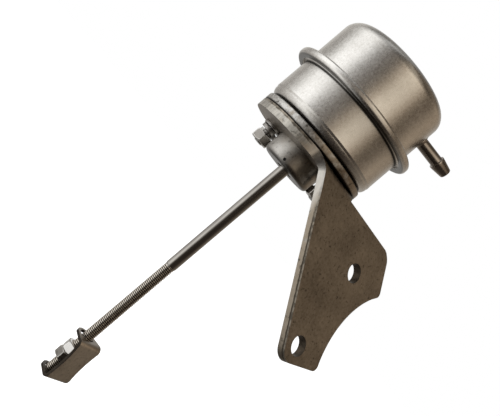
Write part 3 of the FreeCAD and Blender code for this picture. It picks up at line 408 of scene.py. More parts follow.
# Upper shell: deep-drawn stainless cup with a round-edged roof. Its rim flares out, turns down
# and is rolled back under the lower shell's flange, which makes the bead.

can_radius = 34.3
roof_level = 60.6
roof_crown = 0.35
wall_middle = 45.0
bead_radius = 40.0
bead_top = 31.5
bead_low = 27.2
roof = rounded([(0, roof_level), (can_radius, roof_level), (can_radius, wall_middle)], [0, 7.0, 0], 14)
roof[:, 1] -= roof_crown * np.clip(roof[:, 0] / 28.0, 0, 1) ** 2 * (roof[:, 1] > 53.0)
bead = rounded([
    (can_radius, wall_middle), (can_radius, bead_top), (bead_radius, bead_top),
    (bead_radius, bead_low), (35.9, bead_low), (35.9, 28.38), (38.78, 28.38), (38.78, 30.32),
    (shell_inside, 30.32), (shell_inside, wall_middle),
], [0, 0.7, 1.55, 1.7, 0.55, 0.45, 0.1, 0.1, 1.4, 0], 8)
inside = rounded([(shell_inside, wall_middle), (shell_inside, 59.4), (0, 59.05)], [0, 5.8, 0], 12)
upper_profile = np.concatenate([roof[:-1], bead, inside[1:]])
placed("upper_can_shell", turned("upper_can_shell", upper_profile, 256, False),
       "housing", ["upper_can"], [satin_shell])


# Hose nipple: turned steel stem brazed into the shell's side, with one barb for the hose, a
# bore, and a low collar of braze where it meets the shell.

nipple_steel = steel("nipple_steel", (0.24, 0.215, 0.19), (0.40, 0.365, 0.33), 0.24, 0.06, 90.0, 1600.0,
                     0.006)
nipple_bore = 1.9
nipple_end = 56.6
barb_start = 48.4
nipple_profile = rounded([
    (nipple_bore, 34.05), (3.3, 33.9), (4.9, 33.7), (4.9, 34.75), (3.35, 35.5), (3.3, barb_start),
    (4.15, barb_start), (4.15, 49.3), (2.95, nipple_end), (nipple_bore, nipple_end),
], [0, 0, 0, 0.5, 1.0, 0.15, 0.2, 0.8, 0.8, 0.2], 5)
nipple_way = math.radians(64.4)
nipple_level = 47.4
along = Vector((math.cos(nipple_way), math.sin(nipple_way), 0))
across = Vector((-math.sin(nipple_way), math.cos(nipple_way), 0))
nipple_mesh = turned("hose_nipple_stem", nipple_profile, 96)
nipple_mesh.transform(Matrix((
    (across.x, 0, along.x, 0),
    (across.y, 0, along.y, 0),
    (0, 1, 0, nipple_level * 0.001),
    (0, 0, 0, 1),
)))
placed("hose_nipple_stem", nipple_mesh, "housing", ["hose_nipple"], [nipple_steel])


# Mounting plate: thick steel disc under the can, its edges rounded and its rim left rough.

plate_radius = 33.6
bush_radius = 6.0
recess_radius = 17.7
recess_depth = 1.3
# Painted shade: the plate is painted dark at its lower face, in the seam with the bracket, and at its upper
# face, in the seam with the shell.
plate_steel = steel("plate_steel", (0.26, 0.245, 0.22), (0.78, 0.77, 0.75), 0.40, 0.10, 300.0, 1000.0, 0.06,
                    pitted=0.7, dark_bands=((0.0, 1.35, 0.97), (plate_top, 0.8, 0.93)),
                    stain=(0.26, 0.205, 0.145))
plate_profile = rounded([
    (recess_radius, 0), (plate_radius, 0), (plate_radius, plate_top), (bush_radius, plate_top),
    (bush_radius, recess_depth), (recess_radius, recess_depth),
], [0.1, 1.0, 1.0, 0.1, 0.1, 0.1], 6)
placed("mounting_plate_disc", turned("mounting_plate_disc", plate_profile, 224),
       "housing", ["mounting_plate"], [plate_steel])


# Rod bush: sintered bronze bush pressed into the plate, with a flat head inside the can.

bronze = steel("bronze", (0.42, 0.26, 0.12), (0.58, 0.38, 0.19), 0.36, 0.05, 60.0, 1800.0, 0.008)
bush_bore = 3.225
bush_low = -9.0
bush_profile = rounded([
    (bush_bore, bush_low), (bush_radius, bush_low), (bush_radius, plate_top), (6.8, plate_top),
    (6.8, floor_top), (bush_bore, floor_top),
], [0.4, 0.3, 0, 0.2, 0.2, 0.3], 3)
placed("rod_bush_sleeve", turned("rod_bush_sleeve", bush_profile, 64),
       "housing", ["rod_bush"], [bronze])


# Guide cup: drawn steel cup that hangs under the plate round the rod. Its flange is caught in
# the plate's recess, the rod leaves by the hole in its bottom, and a small hole vents it.

# Painted shade: the cup is painted darker towards its bottom, below z = -12.8 mm.
cup_steel = steel("cup_steel", (0.40, 0.385, 0.36), (0.60, 0.58, 0.55), 0.34, 0.07, 70.0, 1300.0, 0.012,
                  pitted=0.4, dark_bands=((-17.3, 4.5, 0.75),), stain=(0.27, 0.225, 0.17))
cup_radius = 15.2
cup_inside = 14.0
cup_low = -15.8
cup_floor = -14.6
cup_hole = 5.1
cup_profile = rounded([
    (cup_inside, 1.2), (17.5, 1.2), (17.5, 0.0), (cup_radius, 0.0), (cup_radius, cup_low),
    (cup_hole, cup_low), (cup_hole, cup_floor), (cup_inside, cup_floor),
], [0.9, 0.2, 0.2, 0.3, 2.4, 0.3, 0.2, 1.2], 7)


def refined(profile, step):
    """The closed profile with extra points, so that no straight run is longer than step in mm."""
    parts = []
    for start, end in zip(profile, np.roll(profile, -1, axis=0)):
        count = max(int(math.ceil(np.linalg.norm(end - start) / step)), 1)
        share = np.arange(count)[:, None] / count
        parts.append(start + (end - start) * share)
    return np.concatenate(parts)


def drilled(name, mesh, centre, direction, radius, length):
    """The mesh less a round bar of the given radius and length, its middle at the centre; in mm."""
    body = new_object(name, mesh)
    drill_mesh = bpy.data.meshes.new(name + "_drill")
    work = bmesh.new()
    bmesh.ops.create_cone(work, cap_ends=True, segments=32, radius1=radius * 0.001,
                          radius2=radius * 0.001, depth=length * 0.001)
    turn = Vector(direction).to_track_quat("Z", "Y").to_matrix().to_4x4()
    work.transform(Matrix.Translation(Vector(centre) * 0.001) @ turn)
    work.to_mesh(drill_mesh)
    work.free()
    drill = new_object(name + "_drill", drill_mesh)
    cut = body.modifiers.new("hole", "BOOLEAN")
    cut.operation = "DIFFERENCE"
    cut.object = drill
    cut.solver = "EXACT"
    ready = body.evaluated_get(bpy.context.evaluated_depsgraph_get())
    result = bpy.data.meshes.new_from_object(ready)
    result.name = name
    result.set_sharp_from_angle(angle=math.radians(40))
    bpy.data.objects.remove(drill)
    bpy.data.objects.remove(body)
    return result


vent_way = math.radians(-50.0)
vent_radius = 0.8
vent_level = -13.2
wall_radius = 14.6
outward = np.array([math.cos(vent_way), math.sin(vent_way), 0.0])
cup_blank = turned("guide_cup_blank", refined(cup_profile, 0.8), 144)
cup_mesh = drilled("guide_cup_shell", cup_blank, wall_radius * outward + (0, 0, vent_level), outward,
                   vent_radius, 6.0)
placed("guide_cup_shell", cup_mesh, "housing", ["guide_cup"], [cup_steel])


# Wiper seal: rubber ring in the bottom of the guide cup with a lip beside the rod.

wiper_top = -10.4
lip_radius = 3.475
wiper_profile = rounded([
    (5.7, cup_floor), (11.6, cup_floor), (cup_inside, -13.4), (cup_inside, wiper_top),
    (5.4, wiper_top), (lip_radius, -12.5), (lip_radius, -13.2),
], [0.3, 0.2, 0.2, 0.2, 0.4, 0.2, 0.2], 4)
placed("wiper_seal_ring", turned("wiper_seal_ring", wiper_profile, 72),
       "housing", ["wiper_seal"], [black_rubber])


# Bracket: one blank of rolled stainless plate, sheared, drilled and bent once. The round flange
# lies under the mounting plate and the leg with its wing runs down beside the rod.

def folded_sheet(name, loops, thick, soft, folds):
    """Flat blank bent to shape: outlines are filled, cut across the folds, given thickness, bent.

    loops are closed outlines in the blank's plane, the outer one first. Each fold is (x, length,
    radius, angle): from x on, the sheet turns by angle over that length round the outer radius.
    Point (x, y, h) with h below the outer face goes to centre + (radius + h) * (sin, cos) of the
    angle reached, and runs straight on after the fold. soft is the inner rims' share of the
    bevel that follows, since the punch rounds the outer rims more. The sheet's faces get the
    first material, its outer edge the second and the walls of its holes the third.
    """
    work = bmesh.new()
    rims = []
    for loop in loops:
        corners = [work.verts.new((x, y, 0)) for x, y in loop]
        rims += [work.edges.new((a, b)) for a, b in zip(corners, corners[1:] + corners[:1])]
    bmesh.ops.triangle_fill(work, use_beauty=True, use_dissolve=False, edges=rims)
    for x, length, radius, angle in folds:
        for cut in np.linspace(x, x + length, 13):
            everything = work.verts[:] + work.edges[:] + work.faces[:]
            bmesh.ops.bisect_plane(work, geom=everything, dist=1e-5,
                                   plane_co=(cut, 0, 0), plane_no=(1, 0, 0))
    top = work.faces[:]
    grown = bmesh.ops.extrude_face_region(work, geom=top)
    moved = [item for item in grown["geom"] if isinstance(item, bmesh.types.BMVert)]
    bmesh.ops.translate(work, verts=moved, vec=(0, 0, -thick))
    bmesh.ops.recalc_face_normals(work, faces=work.faces)
    mesh = bpy.data.meshes.new(name)
    work.to_mesh(mesh)
    work.free()
    points = np.empty(len(mesh.vertices) * 3)
    mesh.vertices.foreach_get("co", points)
    points = points.reshape(-1, 3)
    walls = np.empty(len(mesh.polygons) * 3)
    mesh.polygons.foreach_get("normal", walls)
    side = (np.abs(walls.reshape(-1, 3)[:, 2]) < 0.5).astype(np.int32)
    middles = np.empty(len(mesh.polygons) * 3)
    mesh.polygons.foreach_get("center", middles)
    for loop in loops[1:]:
        middle = loop.mean(axis=0)
        away = np.linalg.norm(middles.reshape(-1, 3)[:, :2] - middle, axis=1)
        side[(side == 1) & (away < 1.05 * np.linalg.norm(loop[0] - middle))] = 2
    along, width, low = points[:, 0].copy(), points[:, 1], points[:, 2]
    origin = np.zeros((len(points), 2))
    heading = np.zeros(len(points))
    passed = np.zeros(len(points))
    for x, length, radius, angle in folds:
        reached = np.clip((along - x) / length, 0, 1) * angle
        entered = along > x
        ahead = np.stack([np.cos(heading), -np.sin(heading)], axis=1)
        outward = np.stack([np.sin(heading), np.cos(heading)], axis=1)
        origin = np.where(entered[:, None], origin + ahead * (x - passed)[:, None], origin)
        centre = origin - outward * radius
        turned_out = np.stack([np.sin(heading + reached), np.cos(heading + reached)], axis=1)
        origin = np.where(entered[:, None], centre + turned_out * radius, origin)
        heading = np.where(entered, heading + reached, heading)
        passed = np.where(entered, np.minimum(along, x + length), passed)
    ahead = np.stack([np.cos(heading), -np.sin(heading)], axis=1)
    outward = np.stack([np.sin(heading), np.cos(heading)], axis=1)
    flat_run = (along - passed)[:, None]
    bent = origin + ahead * flat_run + outward * low[:, None]
    final = np.stack([bent[:, 0], width, bent[:, 1]], axis=1) * 0.001
    mesh.vertices.foreach_set("co", final.ravel())
    mesh.polygons.foreach_set("material_index", side)
    mesh.polygons.foreach_set("use_smooth", np.ones(len(mesh.polygons), bool))
    depth = mesh.attributes.new("sheet_depth", "FLOAT", "POINT")
    depth.data.foreach_set("value", (-low / thick).astype(np.float32))
    ends = np.empty(len(mesh.edges) * 2, np.int32)
    mesh.edges.foreach_get("vertices", ends)
    level = low[ends.reshape(-1, 2)]
    weights = np.where(level.max(axis=1) < -0.5 * thick, soft, 1.0)
    weights[np.ptp(level, axis=1) > 0.5 * thick] = 0.0
    edge_of_corner = np.empty(len(mesh.loops), np.int32)
    mesh.loops.foreach_get("edge_index", edge_of_corner)
    face_corners = np.empty(len(mesh.polygons), np.int32)
    mesh.polygons.foreach_get("loop_total", face_corners)
    side_of_corner = np.repeat(side, face_corners)
    least, most = np.full(len(mesh.edges), 9), np.zeros(len(mesh.edges), int)
    np.minimum.at(least, edge_of_corner, side_of_corner)
    np.maximum.at(most, edge_of_corner, side_of_corner)
    weights[least == most] = 0.0
    bevelled = mesh.attributes.new("bevel_weight_edge", "FLOAT", "EDGE")
    bevelled.data.foreach_set("value", weights.astype(np.float32))
    mesh.update()
    return mesh


def finish_of(material):
    """The material's node tree, its shader and the socket that the shader's colour comes from."""
    tree = material.node_tree
    shader = tree.nodes["Principled BSDF"]
    return tree, shader, shader.inputs["Base Color"].links[0].from_socket


def sheared(name, ridge, torn, line, share, seam_start, painted_light=0.0):
    """Cut edge of a sheet: a narrow ridge next to the outer face, a dark line and a torn band.

    share is the depth of the ridge as a part of the sheet's thickness. The dark line is seen
    only where x is more than seam_start in mm, and the torn band goes on to both sides of it.
    Close to x = 32.2 mm, along the bend, the edge gets a painted highlight, by the share given.
    """
    stain = tuple(part * fade for part, fade in zip(torn, (0.62, 0.54, 0.45)))
    # The cut edge is painted darker within 13 mm of z = -78 mm, towards the leg's foot.
    material = steel(name, tuple(0.45 * part for part in torn), torn, 0.38, 0.08, 300.0, 900.0, 0.06,
                     source="Lines", pitted=0.7, dark_bands=((-78.0, 13.0, 0.6),), stain=stain)
    tree, shader, metal = finish_of(material)
    place = linked(tree, "ShaderNodeTexCoord").outputs["Object"]
    depth = linked(tree, "ShaderNodeAttribute", attribute_name="sheet_depth").outputs["Fac"]
    uneven = linked(tree, "ShaderNodeTexNoise", {"Vector": place, "Scale": 420.0}).outputs["Fac"]
    shifted = worked(tree, "MULTIPLY_ADD", uneven, 0.22, depth)
    dotted = blended(tree, ranged(tree, uneven, 0.42, 0.58), tuple(0.4 * part for part in ridge), ridge)
    banded = blended(tree, ranged(tree, shifted, share + 0.11, share + 0.17), dotted, metal)
    from_seam = worked(tree, "ABSOLUTE", worked(tree, "SUBTRACT", shifted, share + 0.20))
    seam = ranged(tree, from_seam, 0.06, 0.13, 0.9, 0.0)
    across = linked(tree, "ShaderNodeSeparateXYZ", {"Vector": place}).outputs["X"]
    here = ranged(tree, across, seam_start * 0.001, seam_start * 0.001 + 0.005)
    final = blended(tree, worked(tree, "MULTIPLY", seam, here), banded, line)
    if painted_light:
        from_bend = worked(tree, "ABSOLUTE", worked(tree, "SUBTRACT", across, 0.0322))
        final = blended(tree, ranged(tree, from_bend, 0.0035, 0.0075, painted_light, 0.0), final, (0.90, 0.88, 0.84))
    tree.links.new(final, shader.inputs["Base Color"])
    return material


def softened(piece, width, segments):
    """Round the rims of a folded sheet with a bevel of the given width in millimetres.

    The rims of the outer face get the whole width and those of the inner face a share of it.
    """
    bevel = piece.modifiers.new("rims", "BEVEL")
    bevel.width = width * 0.001
    bevel.segments = segments
    bevel.limit_method = "WEIGHT"
    bevel.harden_normals = True
    bevel.use_clamp_overlap = True


def circle(x, y, radius, steps):
    """Points of a circle in the plane."""
    angle = np.linspace(0, 2 * math.pi, steps, endpoint=False)
    return np.stack([x + radius * np.cos(angle), y + radius * np.sin(angle)], axis=1)


# The flange's top face is painted dark at z = 0, in the seam with the plate: painted shade.
rolled_plate = steel("rolled_plate", (0.215, 0.186, 0.150), (0.41, 0.362, 0.302), 0.46, 0.08, 60.0, 700.0,
                     0.04, pitted=0.6, dark_bands=((0.0, 1.3, 0.97),), spot_scale=620.0)
# The cut edge gets a painted highlight along the bend, by the share 0.65.
sheared_edge = sheared("sheared_edge", (0.34, 0.30, 0.245), (0.66, 0.63, 0.57), (0.05, 0.04, 0.03),
                       0.22, 38.0, 0.65)
# Painted shade: the walls of the holes are painted nearly black.
hole_wall = steel("hole_wall", (0.045, 0.035, 0.026), (0.12, 0.098, 0.075), 0.42, 0.08, 300.0, 900.0, 0.05,
                  pitted=0.5)

strap = 4.5
bend_angle = math.radians(63.53)
outer_bend = 6.3
bend_corner = 32.5
setback = outer_bend * math.tan(bend_angle / 2)
bend_start = bend_corner - setback
bend_length = 4.4


def down_leg(u, w):
    """Blank point of a place on the leg, u along the bend and w down the leg's outer face."""
    return (w - setback + bend_length + bend_start, u)


start_side = math.sqrt(plate_radius ** 2 - bend_start ** 2)
start_turn = math.atan2(start_side, bend_start)
round_end = np.linspace(start_turn, 2 * math.pi - start_turn, 150)
disc_edge = np.stack([plate_radius * np.cos(round_end), plate_radius * np.sin(round_end)], axis=1)
wing_tip = (69.6, 22.6)
foot_right = (54.1, 75.6)
foot_left = (29.5, 83.3)
waist_radius = 50.0
waist_middle = (101.8, 60.7)
waist_turn = np.linspace(math.asin((wing_tip[1] - waist_middle[1]) / waist_radius),
                         math.asin((foot_right[1] - waist_middle[1]) / waist_radius), 40)
waist_down, waist_along = down_leg(waist_middle[0] - waist_radius * np.cos(waist_turn),
                                   waist_middle[1] + waist_radius * np.sin(waist_turn))
hollow = np.stack([waist_down, waist_along], axis=1)
left_and_foot = rounded([
    down_leg(*foot_right), down_leg(*foot_left), down_leg(-5.6, 11.0), down_leg(-9.4, setback),
    (bend_start, -start_side),
], [0, 7.0, 12.0, 3.0, 0], 10)[1:-1]
wing = rounded([
    down_leg(15.7, 3.0), down_leg(60.0, 3.0), down_leg(*wing_tip), tuple(hollow[4]),
], [0, 8.0, 3.0, 0], 10)[:-1]
foot = rounded([tuple(hollow[-4]), down_leg(*foot_right), down_leg(*foot_left)], [0, 3.4, 0], 8)[1:-1]
blank = np.concatenate([
    disc_edge[::-1],
    wing,
    hollow[4:-3],
    foot,
    left_and_foot,
])
stud_azimuth = 24.5
stud_x = 23.0 * math.cos(math.radians(stud_azimuth))
stud_y = 23.0 * math.sin(math.radians(stud_azimuth))
stud_hole = 3.2
screw_hole = 5.0
holes = [
    circle(0, 0, 15.5, 96),
    circle(stud_x, stud_y, stud_hole, 40),
    circle(-stud_x, -stud_y, stud_hole, 40),
    circle(*down_leg(43.3, 25.6), screw_hole, 64),
    circle(*down_leg(34.3, 72.6), screw_hole, 64),
]
punched_share = 0.5
bracket_mesh = folded_sheet("bracket_plate", [blank] + holes, strap, punched_share,
                            [(bend_start, bend_length, outer_bend, bend_angle)])
bracket_piece = placed("bracket_plate", bracket_mesh, "housing", ["bracket"],
                       [rolled_plate, sheared_edge, hole_wall])
softened(bracket_piece, 1.0, 4)


# Studs: two steel studs with flat heads inside the can and threaded ends under the bracket.

def threaded(low, high, outer, depth, pitch, columns, per_pitch):
    """Rows of (radius by angle, height) for an outside thread from low to high.

    The radius is outer less depth times a triangle wave of (z + pitch * a / 2 pi) / pitch with its
    peaks and roots flattened, and the depth fades to nothing over the first and last turn.
    """
    rows = max(int((high - low) / pitch * per_pitch), 8)
    height = np.linspace(low, high, rows + 1)
    angle = np.linspace(0, 2 * math.pi, columns, endpoint=False)
    phase = (height[:, None] / pitch + angle[None] / (2 * math.pi)) % 1.0
    wave = np.clip(2.4 * np.abs(2 * phase - 1) - 1.0, 0, 1)
    fade = np.clip(np.minimum(height - low, high - height) / pitch, 0, 1)[:, None]
    radius = outer - depth * wave * fade
    points = np.stack([radius * np.cos(angle), radius * np.sin(angle),
                       np.broadcast_to(height[:, None], radius.shape)], axis=-1)
    return points


def joined(name, meshes):
    """One mesh out of several, each part kept as its own island."""
    work = bmesh.new()
    for mesh in meshes:
        work.from_mesh(mesh)
    whole = bpy.data.meshes.new(name)
    work.to_mesh(whole)
    work.free()
    return whole


stud_radius = 2.95
stud_end = -16.0
stud_columns = 28
thread_pitch = 1.0


def at_studs(name, make, turns=(0.0, 0.0)):
    """The same mesh at both stud places, turned about its own axis by the given degrees."""
    parts = []
    for side, turn in zip((0.001, -0.001), turns):
        part = make()
        part.transform(Matrix.Translation((side * stud_x, side * stud_y, 0))
                       @ Matrix.Rotation(math.radians(turn), 4, "Z"))
        parts.append(part)
    return joined(name, parts)


def one_stud():
    """Flat head, plain shank and threaded end of one stud."""
    rows = np.concatenate([
        ring_rows([(0, 7.5), (4.9, 7.5), (5.2, 7.2), (5.2, floor_top), (stud_radius, floor_top),
                   (stud_radius, -4.6)], stud_columns),
        threaded(-15.3, -4.7, stud_radius, 0.5, thread_pitch, stud_columns, 10)[::-1],
        ring_rows([(2.3, stud_end), (0, stud_end)], stud_columns),
    ])
    mesh = surface("stud", rows, False, True)
    mesh.set_sharp_from_angle(angle=math.radians(35))
    return mesh


placed("stud_pair", at_studs("stud_pair", one_stud), "housing", ["studs"], [washer_steel])


# Flat washers: plain steel rings under the flange, one on each stud.

washer_low = -strap - 1.6


def one_washer():
    """Stamped ring with softly rounded edges."""
    profile = rounded([
        (stud_hole, -strap), (5.9, -strap), (5.9, washer_low), (stud_hole, washer_low),
    ], [0.15, 0.2, 0.35, 0.15], 4)
    return turned("washer", profile, 64)


placed("flat_washer_pair", at_studs("flat_washer_pair", one_washer), "housing", ["flat_washers"],
       [washer_steel])


# Spring washers: hardened wire of rectangular section wound to one open turn, with sharp ends.

def one_split_washer():
    """Rectangle swept round 345 degrees while it sinks by 2.3 mm, closed at both cut ends."""
    wire_low = washer_low - 2.0
    section = rounded([
        (stud_hole, washer_low), (5.3, washer_low), (5.3, wire_low), (stud_hole, wire_low),
    ], 0.2, 3)
    turn = np.linspace(0, math.radians(345), 73)
    points = np.empty((len(turn), len(section), 3))
    points[..., 0] = section[:, 0] * np.cos(turn)[:, None]
    points[..., 1] = section[:, 0] * np.sin(turn)[:, None]
    points[..., 2] = section[:, 1] - 2.3 * turn[:, None] / turn[-1]
    mesh = surface("split_washer", capped(points), False, True)
    mesh.set_sharp_from_angle(angle=math.radians(35))
    return mesh


gap_turn = -140.0
placed("spring_washer_pair", at_studs("spring_washer_pair", one_split_washer, (gap_turn, gap_turn)),
       "housing", ["spring_washers"], [washer_steel])


# Stud nuts: steel hexagon nuts, 10 mm across the flats, chamfered on both sides.

def hexagon_nut(name, across, thick, bore, low, turn):
    """Hexagon nut whose flats stand at across / 2, its corners cut by a 30 degree cone.

    At angle a the side stands at R(a) = across / 2 / cos(a to the nearest flat), a tenth of a
    millimetre less at the corners. Its upper and lower edge lie (R(a) - 0.485 across) * tan 30
    inside the faces. The edge mask is 1 on the edges and 0 between them; it marks where the edges
    get painted light.
    """
    lead_in = 0.55
    countersink = 0.7
    edge_band = 0.55
    angle = np.linspace(0, 2 * math.pi, 144, endpoint=False)
    nearest = (angle + math.pi / 6) % (math.pi / 3) - math.pi / 6
    side = across / 2 / np.cos(nearest)
    side = side - 0.10 * np.clip((side - across * 0.56) / (across * 0.0174), 0, 1)
    face = np.full_like(side, across * 0.485)
    mouth = np.full_like(side, bore + lead_in)
    hole = np.full_like(side, bore)
    drop = (side - face) * math.tan(math.radians(30))
    corner = np.clip((np.abs(nearest) - math.radians(24)) / math.radians(4), 0, 1)
    plain = np.zeros_like(side)
    edge = np.ones_like(side)
    levels = [
        (hole, np.full_like(side, countersink), plain),
        (mouth, plain, edge),
        (face - 0.5, plain, plain),
        (face, plain, edge),
        (side - 0.08, drop - 0.05, edge),
        (side, drop + 0.05, edge),
        (side, drop + edge_band, corner),
        (side, thick - drop - edge_band, corner),
        (side, thick - drop - 0.05, edge),
        (side - 0.08, thick - drop + 0.05, edge),
        (face, np.full_like(side, thick), edge),
        (face - 0.5, np.full_like(side, thick), plain),
        (mouth, np.full_like(side, thick), edge),
        (hole, np.full_like(side, thick - countersink), plain),
    ]
    place = angle + math.radians(turn)
    points = np.stack([np.stack([radius * np.cos(place), radius * np.sin(place), low + height], axis=-1)
                       for radius, height, _ in levels])
    mesh = surface(name, points, True, True)
    mesh.set_sharp_from_angle(angle=math.radians(18))
    painted_edge_mask = mesh.attributes.new("painted_edge_mask", "FLOAT", "POINT")
    painted_edge_mask.data.foreach_set("value", np.concatenate([marked for _, _, marked in levels]).astype(np.float32))
    return mesh


def painted_edges(material, painted_light):
    """Give the material's edges the given colour where the mesh's edge mask is high: painted light."""
    tree, shader, metal = finish_of(material)
    place = linked(tree, "ShaderNodeTexCoord").outputs["Object"]
    painted_edge_mask = linked(tree, "ShaderNodeAttribute", attribute_name="painted_edge_mask").outputs["Fac"]
    patchy = linked(tree, "ShaderNodeTexNoise", {"Vector": place, "Scale": 500.0}).outputs["Fac"]
    share = ranged(tree, worked(tree, "MULTIPLY", painted_edge_mask, patchy), 0.22, 0.50, end=0.9)
    tree.links.new(blended(tree, share, metal, painted_light), shader.inputs["Base Color"])
    return material


nut_across = 10.0
nut_thick = 5.0
stud_nut_low = -15.4
nut_grain = 110.0, 1500.0
right_nut_turn = 19.0


def one_stud_nut():
    """Nut with a corner towards the front."""
    return hexagon_nut("stud_nut", nut_across, nut_thick, 3.0, stud_nut_low, stud_azimuth + 30.0)


# The stud nuts' edges get a painted highlight.
nut_steel = painted_edges(steel("nut_steel", (0.25, 0.235, 0.215), (0.38, 0.36, 0.335), 0.33, 0.07,
                            *nut_grain, 0.01, pitted=0.4), (0.80, 0.78, 0.75))
placed("stud_nut_pair", at_studs("stud_nut_pair", one_stud_nut, (right_nut_turn, 0.0)),
       "housing", ["stud_nuts"], [nut_steel])


# Push rod: ground stainless rod. Its upper end is necked and riveted over the piston stack, and
# the lower 81 mm carry a cut thread with a 1 mm pitch.

rod_radius = 3.175
rod_top = 59.35
rod_end = -171.6
thread_top = -90.6
thread_end = -170.8
thread_radius = 2.98
rod_columns = 32
rod_steel = steel("rod_steel", (0.34, 0.32, 0.30), (0.46, 0.44, 0.41), 0.17, 0.04, 80.0, 1200.0, 0.003,
                  source="Lines")
tree, shader, metal = finish_of(rod_steel)
place = linked(tree, "ShaderNodeTexCoord").outputs["Object"]
level = linked(tree, "ShaderNodeVectorMath", {0: place, 1: (1.0, 1.0, 0.0)}, operation="MULTIPLY")
reach = linked(tree, "ShaderNodeVectorMath", {0: level.outputs["Vector"]}, operation="LENGTH")
# Painted shade: the thread's roots, inside 2.66 mm radius, are painted nearly black.
thread_root_shade = ranged(tree, reach.outputs["Value"], 0.00266, 0.00293, 0.96, 0.0)
parted = linked(tree, "ShaderNodeSeparateXYZ", {"Vector": place})
# Painted highlight: the threaded length below z = -91 mm is painted a lighter, warmer colour.
thread_highlight = ranged(tree, parted.outputs["Z"], -0.0915, -0.0905, 0.9, 0.0)
painted_light = blended(tree, thread_highlight, metal, (0.74, 0.68, 0.60))
tree.links.new(blended(tree, thread_root_shade, painted_light, (0.025, 0.02, 0.016)), shader.inputs["Base Color"])
rod_rows = np.concatenate([
    ring_rows([(0, rod_top), (3.2, rod_top), (4.1, 58.9), (4.4, 58.2), (4.4, washer_top),
               (rod_neck, washer_top), (rod_neck, piston_floor), (rod_radius, piston_floor),
               (rod_radius, -89.9), (3.1, -90.2), (2.93, -90.5)], rod_columns),
    threaded(thread_end, thread_top, thread_radius, 0.48, thread_pitch, rod_columns, 12)[::-1],
    ring_rows([(2.3, rod_end), (0, rod_end)], rod_columns),
])
rod_mesh = surface("push_rod_bar", rod_rows, False, True)
rod_mesh.set_sharp_from_angle(angle=math.radians(50))
placed("push_rod_bar", rod_mesh, "push_rod", ["rod"], [rod_steel])


# Rod nuts: the bright adjusting nut and the duller jam nut that locks it from below.

adjuster_low = -156.9
jam_low = -162.0
# Painted shade: the bright adjusting nut's edges are painted dark.
bright_steel = painted_edges(steel("bright_steel", (0.86, 0.85, 0.835), (0.95, 0.94, 0.93), 0.28, 0.06,
                               *nut_grain, 0.012), (0.30, 0.28, 0.25))
adjuster_mesh = hexagon_nut("adjusting_nut_hexagon", nut_across, nut_thick, thread_radius, adjuster_low, 2.0)
placed("adjusting_nut_hexagon", adjuster_mesh, "adjuster", ["adjusting_nut"], [bright_steel])
# The jam nut's edges get a painted highlight.
dull_steel = painted_edges(steel("dull_steel", (0.20, 0.188, 0.172), (0.30, 0.285, 0.265), 0.33, 0.07,
                             *nut_grain, 0.01, pitted=0.4), (0.62, 0.60, 0.57))
jam_mesh = hexagon_nut("jam_nut_hexagon", nut_across, nut_thick, thread_radius, jam_low, 35.0)
placed("jam_nut_hexagon", jam_mesh, "jam", ["jam_nut"], [dull_steel])


# Rod clip: steel strip folded to a U, its web hollow at both sides and its two ears tapering to
# round ends. The rod passes through a wide hole in each ear, so the clip hangs a little askew.
# Its inner face, its cut edges and its folds are painted dark: painted shade.

clip_sheet = 1.6
clip_bend = 3.0
clip_fold = 3.46
clip_height = 26.25
half_web = 7.95
ear_radius = 5.75
ear_hole = 4.1
side_radius = 50.0
side_depth = 0.9
ear_run = 7.82 - clip_bend
second_fold = ear_run + clip_fold + clip_height - 2 * clip_bend
clip_length = second_fold + clip_fold + ear_run
ear_turn = np.radians(np.linspace(104.5, 255.5, 25))
near_ear = ear_radius * np.stack([np.cos(ear_turn), np.sin(ear_turn)], axis=1)
far_ear = np.stack([clip_length - near_ear[:, 0], -near_ear[:, 1]], axis=1)
run = np.linspace(-9.44, 9.44, 17)
hollow_side = half_web + side_radius - side_depth - np.sqrt(side_radius ** 2 - run ** 2)
middle = clip_length / 2
low_edge = np.concatenate([[(ear_run, -half_web)], np.stack([middle + run, -hollow_side], axis=1),
                           [(clip_length - ear_run, -half_web)]])
high_edge = low_edge[::-1] * (1, -1)
strip = np.concatenate([near_ear, low_edge, far_ear, high_edge])
clip_loops = [strip, circle(0, 0, ear_hole, 48), circle(clip_length, 0, ear_hole, 48)]
clip_mesh = folded_sheet("rod_clip_strip", clip_loops, clip_sheet, 0.3,
                         [(ear_run, clip_fold, clip_bend, math.pi / 2),
                          (second_fold, clip_fold, clip_bend, math.pi / 2)])
clip_top = -144.8
lean_way = math.radians(4.0)
clip_lean = Matrix.Rotation(math.radians(3.4), 4, Vector((math.cos(lean_way), math.sin(lean_way), 0)))
clip_turn = Matrix.Rotation(math.radians(16.9), 4, "Z")
half_height = clip_height * 0.0005
clip_mesh.transform(Matrix.Translation((0, 0, clip_top * 0.001 - half_height)) @ clip_lean @ clip_turn
                    @ Matrix.Translation((0, 0, half_height)))
# Painted shade: the clip is painted darker in bands at its top and bottom fold.
clip_plate = steel("clip_plate", (0.42, 0.375, 0.32), (0.64, 0.58, 0.50), 0.40, 0.07, 90.0, 900.0, 0.02,
                   pitted=0.4, dark_bands=((-144.9, 1.5, 0.5), (-171.2, 1.5, 0.4)))
# Painted shade: the inner face is painted nearly black.
tree, shader, metal = finish_of(clip_plate)
depth = linked(tree, "ShaderNodeAttribute", attribute_name="sheet_depth")
inside = ranged(tree, depth.outputs["Fac"], 0.6, 0.9, end=0.88)
tree.links.new(blended(tree, inside, metal, (0.018, 0.015, 0.012)), shader.inputs["Base Color"])
